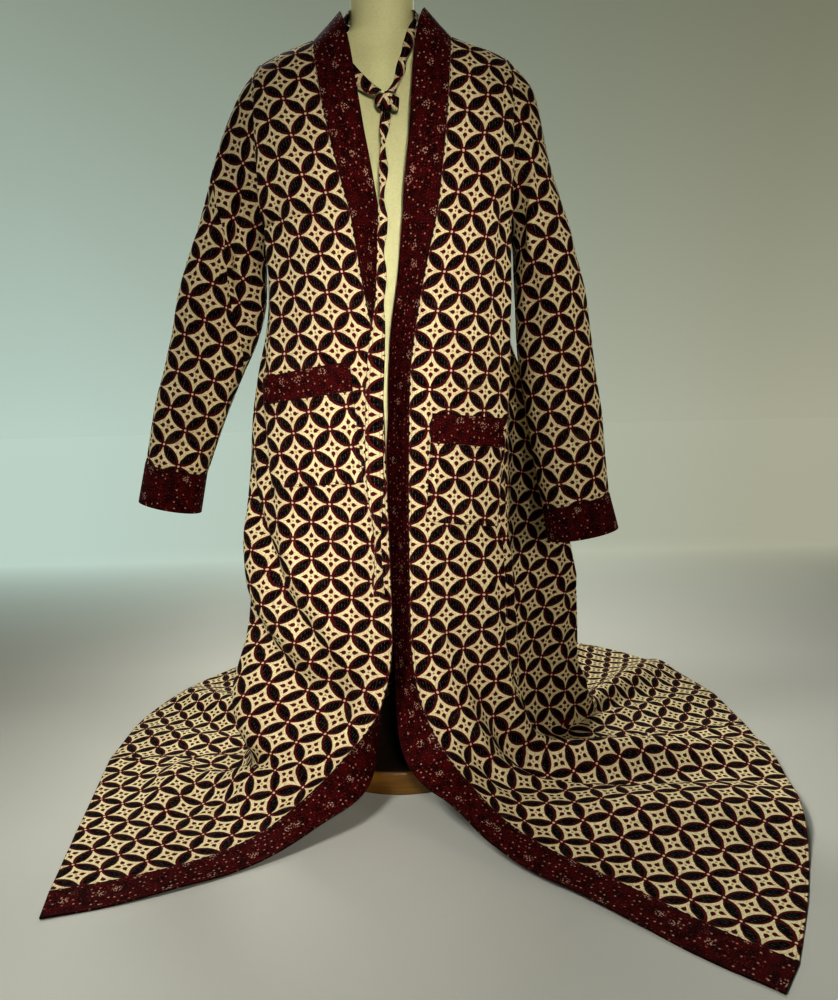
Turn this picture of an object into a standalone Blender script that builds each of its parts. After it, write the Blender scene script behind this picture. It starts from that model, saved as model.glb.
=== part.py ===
"""A very long batik overcoat, open down the front, on a dress form without limbs.

Metres, +Z up. The origin is the middle of the form's base on the floor, the wearer's
front faces -Y, and left and right are as seen from the front. The cloth is a thin wall
round middle surfaces that are worked out from the tables below. Each surface has rows
from the shoulder to the hem: level 0 to 1 runs from the shoulder to the underarm, 1 to 2
down to where the cloth starts to spread, and 2 to 3 out over the floor to the hem.
"""
import math

import bpy
import numpy as np

# Cloth
CLOTH = 0.0020          # wall of the patterned cotton with its backing
BAND = 0.0030           # wall of the folded maroon bands
BAND_WIDTH = 0.058
SEAM = 0.0003           # gap between two pieces at a seam
ON_TOP = 0.0004         # gap under a piece that lies on a panel
ARMHOLE_GAP = 0.0006    # the sleeve meets the coat at an angle, so it keeps a little more

# Shoulders and underarm
NECK_X, NECK_Z = 0.110, 1.235
TIP_X, TIP_Z = 0.205, 1.197
UNDERARM_Z = 0.930
ARMHOLE_DEPTH = 0.085   # reach of the armhole to the front and the back
NECK_BACK = 0.088       # how far the neck seam runs behind the shoulder line
NECK_DIP = 0.010
BACK_Y = 0.125
SPREAD_Z = 0.300        # the cloth leaves its vertical fall here
BEND = 0.070            # radius with which it turns onto the floor
REACH = 0.450           # length that lies on the floor, for the timing of the bend
LYING_BELOW = 0.020     # under this height the wall turns to lie flat on the floor
LYING_TURN = 1.5

# Sign that turns "across times down" outward on each panel
OUTWARD = {"front_left": 1.0, "front_right": -1.0, "back": 1.0}

# Rows and columns of the walls
TORSO_ROWS = 8
FALL_ROWS = 7
SPREAD_ROWS = 13
FRONT_COLUMNS = 11
SHOULDER_COLUMNS = 7
NECK_COLUMNS = 10

# Front edges, where the bands are sewn on. Falling part: height, sideways, forward.
FRONT_EDGE_KEYS = ("z", "left_x", "left_y", "right_x", "right_y")
FRONT_EDGE = (
    (0.930, -0.055, -0.130, 0.081, -0.130),
    (0.790, -0.034, -0.140, 0.049, -0.138),
    (0.700, -0.017, -0.146, 0.034, -0.142),
    (0.560, -0.011, -0.151, 0.026, -0.144),
    (0.400, -0.009, -0.153, 0.022, -0.147),
    (0.300, -0.008, -0.155, 0.021, -0.150),
)
# Spreading part: the way each edge sweeps out over the floor to its tip.
SWEEP_LEFT = (
    (-0.008, -0.155, 0.300), (-0.012, -0.158, 0.220), (-0.035, -0.175, 0.140),
    (-0.090, -0.205, 0.080), (-0.150, -0.248, 0.036), (-0.204, -0.291, 0.012),
    (-0.256, -0.323, 0.003), (-0.321, -0.355, 0.001), (-0.384, -0.379, 0.001),
    (-0.461, -0.400, 0.001),
)
SWEEP_RIGHT = (
    (0.021, -0.150, 0.300), (0.022, -0.154, 0.230), (0.036, -0.178, 0.155),
    (0.072, -0.222, 0.092), (0.112, -0.262, 0.055), (0.153, -0.308, 0.030),
    (0.200, -0.346, 0.014), (0.268, -0.400, 0.006), (0.330, -0.457, 0.002),
    (0.380, -0.507, 0.001), (0.446, -0.563, 0.001),
)
# Turn of each band out of its panel: level, degrees inward for the left and the right.
BAND_TURN = (
    (0.00, -24.0, -24.0), (0.22, -2.0, -2.0), (0.50, 16.0, 12.0), (0.95, 38.0, 18.0),
    (1.22, 66.0, 46.0), (1.45, 100.0, 53.0), (1.65, 110.0, 55.0), (2.00, 112.0, 60.0),
    (2.10, 108.0, 61.0), (2.19, 97.0, 52.0), (2.31, 58.0, 26.0), (2.45, 20.0, 8.0),
    (2.60, 2.0, 1.0), (3.00, 0.0, 0.0),
)

# Side seams of the falling part, and the middle of the back.
SIDE_KEYS = ("z", "left_x", "right_x", "right_y", "back_y", "lobe")
SIDES = (
    (0.930, -0.205, 0.205, 0.000, 0.125, 0.000),
    (0.780, -0.209, 0.203, 0.000, 0.130, 0.012),
    (0.650, -0.238, 0.202, 0.002, 0.140, 0.070),
    (0.450, -0.256, 0.200, 0.006, 0.165, 0.135),
    (0.300, -0.266, 0.204, 0.010, 0.190, 0.165),
)
LOBE_AT, LOBE_WIDTH = 62.0, 20.0     # the deep fold behind the right sleeve, in degrees

# Hem on the floor, seen from above.
HEM_LEFT = (-0.541, -0.005)          # left side seam
HEM_RIGHT = (0.664, 0.075)           # right side seam
HEM_RIGHT_BULGE = 0.050              # the right front's hem is an arc
HEM_BACK = (
    (-0.541, -0.005), (-0.545, 0.190), (-0.490, 0.395), (-0.360, 0.575), (-0.170, 0.690),
    (0.060, 0.735), (0.290, 0.715), (0.480, 0.610), (0.615, 0.430), (0.662, 0.250),
    (0.664, 0.075),
)

# Largest folds, as soft ridges from one place on a panel to another: column 0 to 1,
# level, half width of the ridge in columns and in levels, and its height.
FOLD_KEYS = ("panel", "column_a", "level_a", "column_b", "level_b", "width", "height")
FOLDS = (
    ("front_left", 0.95, 1.72, 0.30, 2.20, 0.110, 0.014),
    ("front_left", 0.98, 2.02, 0.45, 2.34, 0.110, 0.016),
    ("front_left", 0.70, 2.52, 0.22, 2.46, 0.090, 0.040),
    ("front_left", 0.95, 2.66, 0.45, 2.76, 0.080, 0.018),
    ("front_right", 0.97, 1.60, 0.80, 2.40, 0.080, 0.016),
    ("front_right", 0.72, 2.30, 0.80, 2.90, 0.110, 0.046),
    ("front_right", 0.30, 2.55, 0.52, 2.98, 0.130, 0.030),
    ("back", 0.94, 2.35, 0.93, 2.97, 0.034, 0.030),
    ("back", 0.86, 2.30, 0.84, 2.96, 0.034, 0.046),
    ("back", 0.70, 1.70, 0.71, 2.92, 0.040, 0.040),
    ("back", 0.56, 1.60, 0.55, 2.95, 0.040, 0.034),
    ("back", 0.42, 1.70, 0.42, 2.90, 0.040, 0.038),
    ("back", 0.28, 1.60, 0.27, 2.95, 0.036, 0.042),
    ("back", 0.14, 1.90, 0.15, 2.94, 0.034, 0.040),
    ("back", 0.04, 2.40, 0.05, 2.95, 0.022, 0.024),
)

# Sleeves, as rings from the armhole to the cuff. Columns: x and z of the outer outline
# seen from the front, x and z of the inner outline, half depth, and y of the middle.
SLEEVE_LEFT = (
    (-0.205, 1.197, -0.205, 0.930, 0.085, 0.000),
    (-0.238, 1.160, -0.2125, 0.906, 0.084, 0.000),
    (-0.272, 1.080, -0.2155, 0.862, 0.079, -0.002),
    (-0.310, 0.962, -0.2170, 0.810, 0.071, -0.008),
    (-0.347, 0.841, -0.2320, 0.752, 0.064, -0.014),
    (-0.392, 0.690, -0.2800, 0.650, 0.058, -0.018),
    (-0.431, 0.547, -0.3320, 0.522, 0.053, -0.020),
)
SLEEVE_RIGHT = (
    (0.205, 1.197, 0.205, 0.930, 0.085, 0.000),
    (0.2385, 1.160, 0.2125, 0.905, 0.084, 0.000),
    (0.262, 1.075, 0.2150, 0.860, 0.079, -0.004),
    (0.294, 0.962, 0.2150, 0.800, 0.071, -0.012),
    (0.322, 0.850, 0.2160, 0.735, 0.064, -0.018),
    (0.349, 0.680, 0.2300, 0.605, 0.059, -0.024),
    (0.370, 0.474, 0.2570, 0.448, 0.055, -0.026),
)
SLEEVE_ROWS = 12
CUFF_LEFT = (SLEEVE_LEFT[-1], (-0.447, 0.480, -0.346, 0.455, 0.054, -0.020))
CUFF_RIGHT = (SLEEVE_RIGHT[-1], (0.386, 0.412, 0.266, 0.390, 0.056, -0.026))
CUFF_ROWS = 2

# Patch pockets on the fronts: corners seen from the front, and the height of the band.
POCKET_KEYS = ("near_x", "near_top", "far_x", "far_top", "near_low", "far_low", "drift")
POCKETS = {
    "left": (-0.062, 0.700, -0.213, 0.680, 0.511, 0.503, 0.016),
    "right": (0.064, 0.617, 0.181, 0.606, 0.447, 0.428, -0.014),
}
POCKET_REST = 0.0006    # the panel's flat facets stand this far inside its true curve
POCKET_BAND_HEIGHT = 0.046
POCKET_STEPS = 10
POCKET_ROWS = 6

# Belt: a strip hung round the form's neck, knotted on the chest, with its tail in front.
BELT = 0.0030
CROWN = 0.0012          # how far the strip's middle stands above its edges
KNOT_AT = (0.004, -0.0965, 1.104)
KNOT_SIZE = (0.017, 0.011, 0.017)
LOOP_WIDTH = 0.018
LOOP_ROUTE = (
    (0.0120, -0.0942, 1.1195), (0.0330, -0.0800, 1.168), (0.0450, -0.0620, 1.212),
    (0.0560, -0.0400, 1.248), (0.0572, -0.0100, 1.277), (0.0512, 0.0240, 1.286),
    (0.0307, 0.0474, 1.291), (0.0000, 0.0564, 1.292), (-0.0307, 0.0474, 1.290),
    (-0.0512, 0.0248, 1.285), (-0.0572, 0.0060, 1.280), (-0.0598, -0.0120, 1.272),
    (-0.0660, -0.0290, 1.256), (-0.0750, -0.0445, 1.232), (-0.0750, -0.0590, 1.202),
    (-0.0590, -0.0720, 1.169), (-0.0330, -0.0845, 1.138), (-0.0072, -0.0948, 1.1195),
)
LOOP_STEPS = 36
LOOP_TILT = 0.35        # how much the strip faces up where it leaves the neck for the chest
LOOP_LEAVES_Z = 1.250
TAIL_KEYS = ("z", "x", "y", "half_width", "twist")
TAIL = (
    (1.0865, 0.003, -0.0965, 0.009, 10.0),
    (1.000, -0.001, -0.110, 0.008, 50.0),
    (0.900, -0.006, -0.126, 0.008, 20.0),
    (0.780, -0.012, -0.149, 0.009, 25.0),
    (0.715, -0.019, -0.156, 0.013, 10.0),
    (0.620, -0.026, -0.158, 0.014, 4.0),
    (0.500, -0.028, -0.160, 0.013, 8.0),
    (0.430, -0.026, -0.164, 0.007, 40.0),
    (0.330, -0.026, -0.164, 0.010, 20.0),
)
TAIL_STEPS = 26

# Dress form
SHOULDER_SLOPE = (NECK_Z - TIP_Z) / (TIP_X - NECK_X)
FORM_REST = 0.0015      # how far below the cloth's middle the form's shoulder lies


def under_shoulder(z):
    """Half width at which the form just carries the coat's shoulder at this height."""
    return NECK_X + (NECK_Z - FORM_REST - z) / SHOULDER_SLOPE


# Columns: height, half width, reach to the front and to the back, and the ring's
# roundness, where 2 is an ellipse and less is more pointed.
FORM = (
    (0.500, 0.148, 0.084, 0.096, 2.2), (0.590, 0.158, 0.086, 0.106, 2.2),
    (0.750, 0.138, 0.076, 0.092, 2.2), (0.900, 0.154, 0.083, 0.098, 2.2),
    (1.000, 0.164, 0.087, 0.100, 2.2), (1.080, 0.170, 0.084, 0.098, 2.1),
    (1.130, 0.179, 0.078, 0.088, 1.9), (1.170, 0.186, 0.068, 0.072, 1.7),
    (1.193, 0.181, 0.060, 0.060, 1.5), (1.208, under_shoulder(1.208), 0.053, 0.053, 1.4),
    (1.220, under_shoulder(1.220), 0.051, 0.051, 1.4),
    (1.230, under_shoulder(1.230), 0.050, 0.050, 1.5),
    (1.240, 0.072, 0.050, 0.051, 1.8), (1.254, 0.0565, 0.052, 0.052, 2.0),
    (1.270, 0.0542, 0.0538, 0.0538, 2.0), (1.330, 0.054, 0.054, 0.054, 2.0),
)
FORM_SIDES = 32
POLE_RADIUS = 0.016
POLE_SIDES = 16
BASE_RADIUS = 0.167
BASE_HEIGHT = 0.039
BASE_EDGE = 0.006
BASE_SIDES = 64


def spline(rows, at):
    """A smooth curve through rows of numbers; the first column is the parameter."""
    table = np.array(rows, float)
    knots, values = table[:, 0], table[:, 1:]
    steps = np.diff(knots)
    slopes = np.diff(values, axis=0) / steps[:, None]
    tangents = np.zeros_like(values)
    tangents[0], tangents[-1] = slopes[0], slopes[-1]
    ahead, behind = steps[1:, None], steps[:-1, None]
    tangents[1:-1] = (slopes[:-1] * ahead + slopes[1:] * behind) / (ahead + behind)
    at = min(max(at, knots[0]), knots[-1])
    k = min(int(np.searchsorted(knots, at, side="right")) - 1, len(steps) - 1)
    t = (at - knots[k]) / steps[k]
    low = (2 * t**3 - 3 * t**2 + 1) * values[k] + (t**3 - 2 * t**2 + t) * steps[k] * tangents[k]
    high = (3 * t**2 - 2 * t**3) * values[k + 1] + (t**3 - t**2) * steps[k] * tangents[k + 1]
    return low + high


def route(points):
    """Rows for spline(): the share of the length gone, then the point itself."""
    points = np.array(points, float)
    gone = np.concatenate([[0.0], np.cumsum(np.linalg.norm(np.diff(points, axis=0), axis=1))])
    return np.column_stack([gone / gone[-1], points])


def falling(table, keys, z, *names):
    """Named columns of a table whose rows go down in height, at one height."""
    rows = [(-row[0],) + tuple(row[1:]) for row in table]
    values = spline(rows, -z)
    return [values[keys.index(name) - 1] for name in names]


def unit(vectors):
    length = np.linalg.norm(vectors, axis=-1, keepdims=True)
    return vectors / np.maximum(length, 1e-9)


def rounding(level, full):
    """Quarter circle from 0 at the shoulder to 1 at the level called full."""
    return math.sqrt(1.0 - (1.0 - min(level / full, 1.0)) ** 2)


def fall_height(level):
    return UNDERARM_Z + (SPREAD_Z - UNDERARM_Z) * (level - 1.0)


def bend_profile(part):
    """Share of the way out, and share of the height left, for cloth that falls and lies down."""
    drop, arc, flat = SPREAD_Z - BEND, BEND * math.pi / 2, REACH - BEND
    gone = part * (drop + arc + flat)
    if gone < drop:
        return 0.0, 1.0 - gone / SPREAD_Z
    if gone < drop + arc:
        angle = (gone - drop) / BEND
        return BEND * (1 - math.cos(angle)) / REACH, BEND * (1 - math.sin(angle)) / SPREAD_Z
    return (BEND + gone - drop - arc) / REACH, 0.0


def front_edge(side, level):
    """The seam between a front panel and its band."""
    sign = -1.0 if side == "left" else 1.0
    if level <= 1.0:
        x_low, y_low = falling(FRONT_EDGE, FRONT_EDGE_KEYS, UNDERARM_Z, side + "_x", side + "_y")
        x = sign * NECK_X + (x_low - sign * NECK_X) * level ** 1.5
        y = y_low * rounding(level, 0.75)
        return np.array([x, y, NECK_Z + (UNDERARM_Z - NECK_Z) * level])
    if level <= 2.0:
        z = fall_height(level)
        x, y = falling(FRONT_EDGE, FRONT_EDGE_KEYS, z, side + "_x", side + "_y")
        return np.array([x, y, z])
    sweep = SWEEP_LEFT if side == "left" else SWEEP_RIGHT
    return spline(route(sweep), level - 2.0)


def armhole(side, level, front):
    """The armhole seam, an upright oval at the shoulder's end."""
    sign = -1.0 if side == "left" else 1.0
    toward = -1.0 if front else 1.0
    y = toward * ARMHOLE_DEPTH * 2 * math.sqrt(max(level * (1 - level), 0.0))
    return np.array([sign * TIP_X, y, TIP_Z + (UNDERARM_Z - TIP_Z) * level])


def side_seam(side, level):
    z = fall_height(level)
    if side == "left":
        return np.array([falling(SIDES, SIDE_KEYS, z, "left_x")[0], 0.0, z])
    x, y = falling(SIDES, SIDE_KEYS, z, "right_x", "right_y")
    return np.array([x, y, z])


def upper_front(side, column, level):
    """A front panel above the spread: from the band's seam to the armhole or side seam."""
    near = front_edge(side, level)
    far = armhole(side, level, True) if level <= 1.0 else side_seam(side, level)
    across = math.sin(column * math.pi / 2)
    bulge = max(math.cos(column * math.pi / 2), 0.0) ** 0.75
    x = near[0] + (far[0] - near[0]) * across
    y = far[1] + (near[1] - far[1]) * bulge
    return np.array([x, y, near[2] + (far[2] - near[2]) * across])


def neck_share(x):
    """0 at the neck's sides, 1 at its middle behind."""
    return max(1.0 - (x / NECK_X) ** 2, 0.0)


def upper_back(column, level):
    """The back above the spread, from the left side seam to the right one."""
    angle = back_angle(column)
    across = math.sin(angle)
    squareness = 0.7 + 2.4 * level * (1 - level) if level < 1.0 else 0.7
    bulge = max(math.cos(angle), 0.0) ** squareness
    if level <= 1.0:
        x = TIP_X * across
        slope = (NECK_Z - TIP_Z) / (TIP_X - NECK_X)
        top = NECK_Z - slope * max(abs(x) - NECK_X, 0.0) - NECK_DIP * neck_share(x)
        side_y = armhole("left", level, False)[1]
        seam_y = NECK_BACK * neck_share(x) ** 0.7
        share = rounding(level, 0.5)
        y = side_y + (BACK_Y * share - side_y) * bulge + seam_y * (1 - share)
        return np.array([x, y, top + (UNDERARM_Z - top) * level])
    z = fall_height(level)
    left, right = side_seam("left", level), side_seam("right", level)
    back_y, lobe = falling(SIDES, SIDE_KEYS, z, "back_y", "lobe")
    side_y = left[1] + (right[1] - left[1]) * column
    x = (left[0] + right[0]) / 2 + (right[0] - left[0]) / 2 * across
    near_seam = min(1.0, (1 - column) * 12)
    x += lobe * math.exp(-((math.degrees(angle) - LOBE_AT) / LOBE_WIDTH) ** 2) * near_seam
    return np.array([x, side_y + (back_y - side_y) * bulge, z])


def back_angle(column):
    """Column 0 to 1 as an angle, with a column on each end of the neck seam."""
    neck = math.asin(NECK_X / TIP_X)
    total = 2 * SHOULDER_COLUMNS + NECK_COLUMNS
    place = column * total
    if place < SHOULDER_COLUMNS:
        return -math.pi / 2 + (math.pi / 2 - neck) * place / SHOULDER_COLUMNS
    if place <= SHOULDER_COLUMNS + NECK_COLUMNS:
        return -neck + 2 * neck * (place - SHOULDER_COLUMNS) / NECK_COLUMNS
    return neck + (math.pi / 2 - neck) * (place - SHOULDER_COLUMNS - NECK_COLUMNS) / SHOULDER_COLUMNS


def hem(panel, column):
    if panel == "back":
        return spline(route(HEM_BACK), column)
    side = panel.split("_")[1]
    near = front_edge(side, 3.0)[:2]
    far = np.array(HEM_LEFT if side == "left" else HEM_RIGHT)
    point = near + (far - near) * column
    if side == "right":
        along = (far - near) / np.linalg.norm(far - near)
        point = point + np.array([along[1], -along[0]]) * HEM_RIGHT_BULGE * math.sin(math.pi * column)
    return point


def panel_point(panel, column, level):
    """A point of a panel's middle surface before the folds."""
    if level <= 2.0:
        if panel == "back":
            return upper_back(column, level)
        return upper_front(panel.split("_")[1], column, level)
    start = panel_point(panel, column, 2.0)
    out, left = bend_profile(level - 2.0)
    point = np.array([*(start[:2] + (hem(panel, column) - start[:2]) * out), SPREAD_Z * left])
    if panel != "back":
        side = panel.split("_")[1]
        plain = front_edge(side, 2.0)[:2]
        plain = np.array([*(plain + (hem(panel, 0.0) - plain) * out), SPREAD_Z * left])
        point += (front_edge(side, level) - plain) * (1.0 - column) ** 2
    return point


def fold_height(panel, column, level):
    """Sum of the soft ridges at one place; it fades out at seams and at the hem."""
    total = 0.0
    for row in FOLDS:
        fold = dict(zip(FOLD_KEYS, row))
        if fold["panel"] != panel:
            continue
        start = np.array([fold["column_a"], fold["level_a"]])
        run = np.array([fold["column_b"], fold["level_b"]]) - start
        share = min(max(np.dot(np.array([column, level]) - start, run) / np.dot(run, run), 0.0), 1.0)
        away = (np.array([column, level]) - start - share * run) / fold["width"]
        ends = math.sin(math.pi * (0.1 + 0.8 * share)) ** 0.5
        total += fold["height"] * math.exp(-np.dot(away, away)) * ends
    return total


def levels():
    """Row levels: spaced so that the armhole is evenly divided, then by height and length."""
    torso = [(1 - math.cos(math.pi * k / TORSO_ROWS)) / 2 for k in range(TORSO_ROWS + 1)]
    fall = [1 + k / FALL_ROWS for k in range(1, FALL_ROWS + 1)]
    spread = [2 + k / SPREAD_ROWS for k in range(1, SPREAD_ROWS + 1)]
    return torso + fall + spread


def grid_normals(grid, around=False):
    """Unit normals of a grid of points, from central differences."""
    down = np.gradient(grid, axis=0)
    if around:
        across = (np.roll(grid, -1, axis=1) - np.roll(grid, 1, axis=1)) / 2
    else:
        across = np.gradient(grid, axis=1)
    return unit(np.cross(across, down))


def panel_grid(panel):
    """Points and outward normals of a panel, folds included."""
    count = 2 * SHOULDER_COLUMNS + NECK_COLUMNS if panel == "back" else FRONT_COLUMNS
    columns = [k / count for k in range(count + 1)]
    grid = np.array([[panel_point(panel, c, v) for c in columns] for v in levels()])
    normals = grid_normals(grid) * OUTWARD[panel]
    height = np.array([[fold_height(panel, c, v) for c in columns] for v in levels()])
    edge = np.array([[min(1.0, c * 6, (1 - c) * 6) for c in columns] for v in levels()])
    grid = grid + normals * (height * edge)[:, :, None]
    normals = grid_normals(grid) * OUTWARD[panel]
    lying = np.clip(1.0 - grid[:, :, 2] / LYING_BELOW, 0.0, 1.0)
    normals[:, :, 2] += LYING_TURN * lying
    return grid, unit(normals)


def away_from_edge(edge, beside, around):
    """Unit directions off an edge and square to it, toward the points beside it."""
    if around:
        along = unit(np.roll(edge, -1, axis=0) - np.roll(edge, 1, axis=0))
    else:
        along = unit(np.gradient(edge, axis=0))
    toward = beside - edge
    return unit(toward - along * np.sum(toward * along, axis=1, keepdims=True))


def draw_in(grid, row_start=0.0, row_end=0.0, column_start=0.0, column_end=0.0, around=False):
    """Move the outer rows and columns of a grid inward by small lengths."""
    made = grid.copy()
    made[0] += away_from_edge(grid[0], grid[1], around) * row_start
    made[-1] += away_from_edge(grid[-1], grid[-2], around) * row_end
    if not around:
        made[:, 0] += away_from_edge(grid[:, 0], grid[:, 1], False) * column_start
        made[:, -1] += away_from_edge(grid[:, -1], grid[:, -2], False) * column_end
    return made


def material(name, colour, roughness, metallic=0.0):
    made = bpy.data.materials.new(name)
    made.use_nodes = True
    shader = made.node_tree.nodes["Principled BSDF"]
    shader.inputs["Base Color"].default_value = (*colour, 1.0)
    shader.inputs["Roughness"].default_value = roughness
    shader.inputs["Metallic"].default_value = metallic
    return made


def add_mesh(name, points, faces, finish):
    mesh = bpy.data.meshes.new(name)
    mesh.from_pydata([tuple(map(float, p)) for p in points], [], faces)
    mesh.update()
    signed = 0.0
    mesh.calc_loop_triangles()
    for triangle in mesh.loop_triangles:
        a, b, c = (mesh.vertices[i].co for i in triangle.vertices)
        signed += a.dot(b.cross(c))
    if signed < 0:
        mesh.flip_normals()
    mesh.shade_smooth()
    mesh.set_sharp_from_angle(angle=math.radians(50))
    mesh.materials.append(finish)
    made = bpy.data.objects.new(name, mesh)
    bpy.context.scene.collection.objects.link(made)
    return made


def wall(name, grid, normals, thickness, finish, around=False):
    """A closed wall of even thickness on both sides of a grid of points, above the floor."""
    rows, columns = grid.shape[:2]
    grid = grid.copy()
    grid[:, :, 2] = np.maximum(grid[:, :, 2], thickness / 2)
    outer = grid + normals * thickness / 2
    inner = grid - normals * thickness / 2
    points = np.concatenate([outer.reshape(-1, 3), inner.reshape(-1, 3)])
    offset = rows * columns
    wrap = columns if around else columns - 1
    faces = []
    for i in range(rows - 1):
        for j in range(wrap):
            a, b = i * columns + j, i * columns + (j + 1) % columns
            c, d = b + columns, a + columns
            for face in ((a, b, c), (a, c, d)):
                faces.append(face)
                faces.append(tuple(offset + corner for corner in reversed(face)))
    for row, flip in ((0, False), (rows - 1, True)):
        for j in range(wrap):
            a, b = row * columns + j, row * columns + (j + 1) % columns
            quad = (b, a, offset + a, offset + b)
            faces.append(quad[::-1] if flip else quad)
    if not around:
        for column, flip in ((0, True), (columns - 1, False)):
            for i in range(rows - 1):
                a, b = i * columns + column, (i + 1) * columns + column
                quad = (b, a, offset + a, offset + b)
                faces.append(quad[::-1] if flip else quad)
    return add_mesh(name, points, faces, finish)


def tube_grid(sections, steps, ring):
    """Rings between an outer and an inner outline; ring 0 degrees is the outer side."""
    table = route(sections)
    grid = []
    for k in range(steps + 1):
        row = spline(table, k / steps)
        outer, inner = np.array([row[0], 0, row[1]]), np.array([row[2], 0, row[3]])
        middle, half = (outer + inner) / 2, (outer - inner) / 2
        middle[1] = row[5]
        grid.append([middle + half * math.cos(a) + np.array([0, -row[4] * math.sin(a), 0]) for a in ring])
    return np.array(grid)


def outward(normals, grid):
    """Turn a tube's normals away from its rings' middles."""
    away = grid - grid.mean(axis=1, keepdims=True)
    return normals * np.sign(np.sum(normals * away, axis=2))[:, :, None]


def average(*normals):
    total = sum(normals)
    if np.linalg.norm(total) < 0.35:
        return np.array([0.0, 0.0, -1.0])
    return total / np.linalg.norm(total)


def band_grid(side, grid, normals):
    """A front band: sewn to its panel's first column and turned by the table above."""
    toward = unit(grid[:, 0] - grid[:, 1])
    along = unit(np.gradient(grid[:, 0], axis=0))
    toward = unit(toward - along * np.sum(toward * along, axis=1, keepdims=True))
    face = normals[:, 0]
    rows = []
    faces = []
    for k, level in enumerate(levels()):
        left, right = spline(BAND_TURN, level)
        turn = math.radians(left if side == "left" else right)
        way = toward[k] * math.cos(turn) - face[k] * math.sin(turn)
        rows.append([grid[k, 0], grid[k, 0] + way * BAND_WIDTH / 2, grid[k, 0] + way * BAND_WIDTH])
        faces.append([face[k]] + [face[k] * math.cos(turn) + toward[k] * math.sin(turn)] * 2)
    return np.array(rows), unit(np.array(faces))


def pocket_cell(side, across, down):
    """Column and level on the front panel for a place on the pocket."""
    pocket = dict(zip(POCKET_KEYS, POCKETS[side]))
    top = pocket["near_top"] + (pocket["far_top"] - pocket["near_top"]) * across
    low = pocket["near_low"] + (pocket["far_low"] - pocket["near_low"]) * across
    x = pocket["near_x"] + (pocket["far_x"] - pocket["near_x"]) * across + pocket["drift"] * down
    level = 1.0 + (UNDERARM_Z - (top + (low - top) * down)) / (UNDERARM_Z - SPREAD_Z)
    near, far = front_edge(side, level), side_seam(side, level)
    share = min(max((x - near[0]) / (far[0] - near[0]), 0.0), 1.0)
    return math.asin(share) * 2 / math.pi, level


def folded_point(panel, column, level):
    """A point of the panel with its folds, and the panel's outward normal there."""
    step = 0.004
    sign = OUTWARD[panel]

    def bare_normal(c, v):
        across = panel_point(panel, c + step, v) - panel_point(panel, c - step, v)
        down = panel_point(panel, c, v + step) - panel_point(panel, c, v - step)
        return sign * unit(np.cross(across, down))

    def place(c, v):
        fade = min(1.0, c * 6, (1 - c) * 6)
        return panel_point(panel, c, v) + bare_normal(c, v) * fold_height(panel, c, v) * fade

    across = place(column + step, level) - place(column - step, level)
    down = place(column, level + step) - place(column, level - step)
    return place(column, level), sign * unit(np.cross(across, down))


def pocket_grid(side, down_start, down_end, rows, thickness):
    panel = "front_" + side
    grid, normals = [], []
    for i in range(rows + 1):
        down = down_start + (down_end - down_start) * i / rows
        cells = [pocket_cell(side, j / POCKET_STEPS, down) for j in range(POCKET_STEPS + 1)]
        spots = [folded_point(panel, *cell) for cell in cells]
        lift = CLOTH / 2 + ON_TOP + POCKET_REST + thickness / 2
        grid.append([point + normal * lift for point, normal in spots])
        normals.append([normal for point, normal in spots])
    return np.array(grid), np.array(normals)


def strip(name, places, sideways, faces, half_widths, thickness, finish):
    """A flat strip along a route, three points wide and a little crowned."""
    places, sideways, faces = np.array(places), unit(np.array(sideways)), unit(np.array(faces))
    half = np.array(half_widths)[:, None]
    crown = faces * CROWN
    grid = np.stack([places - sideways * half, places + crown, places + sideways * half], axis=1)
    normals = np.stack([faces, faces, faces], axis=1)
    return wall(name, grid, normals, thickness, finish)


def build_belt(finish):
    table = route(LOOP_ROUTE)
    spots = np.array([spline(table, k / LOOP_STEPS) for k in range(LOOP_STEPS + 1)])
    along = unit(np.gradient(spots, axis=0))
    away = spots.copy()
    away[:, 2] = LOOP_TILT * np.clip(LOOP_LEAVES_Z - spots[:, 2], 0.0, 0.1)
    away = unit(away)
    away = unit(away - along * np.sum(away * along, axis=1, keepdims=True))
    side = np.cross(along, away)
    strip("belt_loop", spots, side, away, [LOOP_WIDTH / 2] * len(spots), BELT, finish)

    rows = [(-r[0],) + tuple(r) for r in TAIL]
    spots, sideways, faces, widths = [], [], [], []
    for k in range(TAIL_STEPS + 1):
        z = TAIL[0][0] + (TAIL[-1][0] - TAIL[0][0]) * k / TAIL_STEPS
        row = dict(zip(TAIL_KEYS, spline(rows, -z)))
        turn = math.radians(row["twist"])
        spots.append((row["x"], row["y"], z))
        sideways.append((math.cos(turn), -math.sin(turn), 0.0))
        faces.append((-math.sin(turn), -math.cos(turn), 0.0))
        widths.append(row["half_width"])
    strip("belt_tail", spots, sideways, faces, widths, BELT, finish)

    build_knot(finish)


def build_knot(finish):
    rings, sides = 6, 12
    middle, size = np.array(KNOT_AT), np.array(KNOT_SIZE)
    points = [middle + size * (0, 0, 1)]
    for i in range(1, rings):
        tilt = math.pi * i / rings
        for j in range(sides):
            turn = 2 * math.pi * j / sides
            ball = (math.sin(tilt) * math.cos(turn), math.sin(tilt) * math.sin(turn), math.cos(tilt))
            points.append(middle + size * ball)
    points.append(middle - size * (0, 0, 1))
    faces = [(0, 1 + j, 1 + (j + 1) % sides) for j in range(sides)]
    for i in range(rings - 2):
        for j in range(sides):
            a, b = 1 + i * sides + j, 1 + i * sides + (j + 1) % sides
            faces.append((a, a + sides, b + sides, b))
    last = len(points) - 1
    start = 1 + (rings - 2) * sides
    faces += [(last, start + (j + 1) % sides, start + j) for j in range(sides)]
    add_mesh("belt_knot", points, faces, finish)


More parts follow.
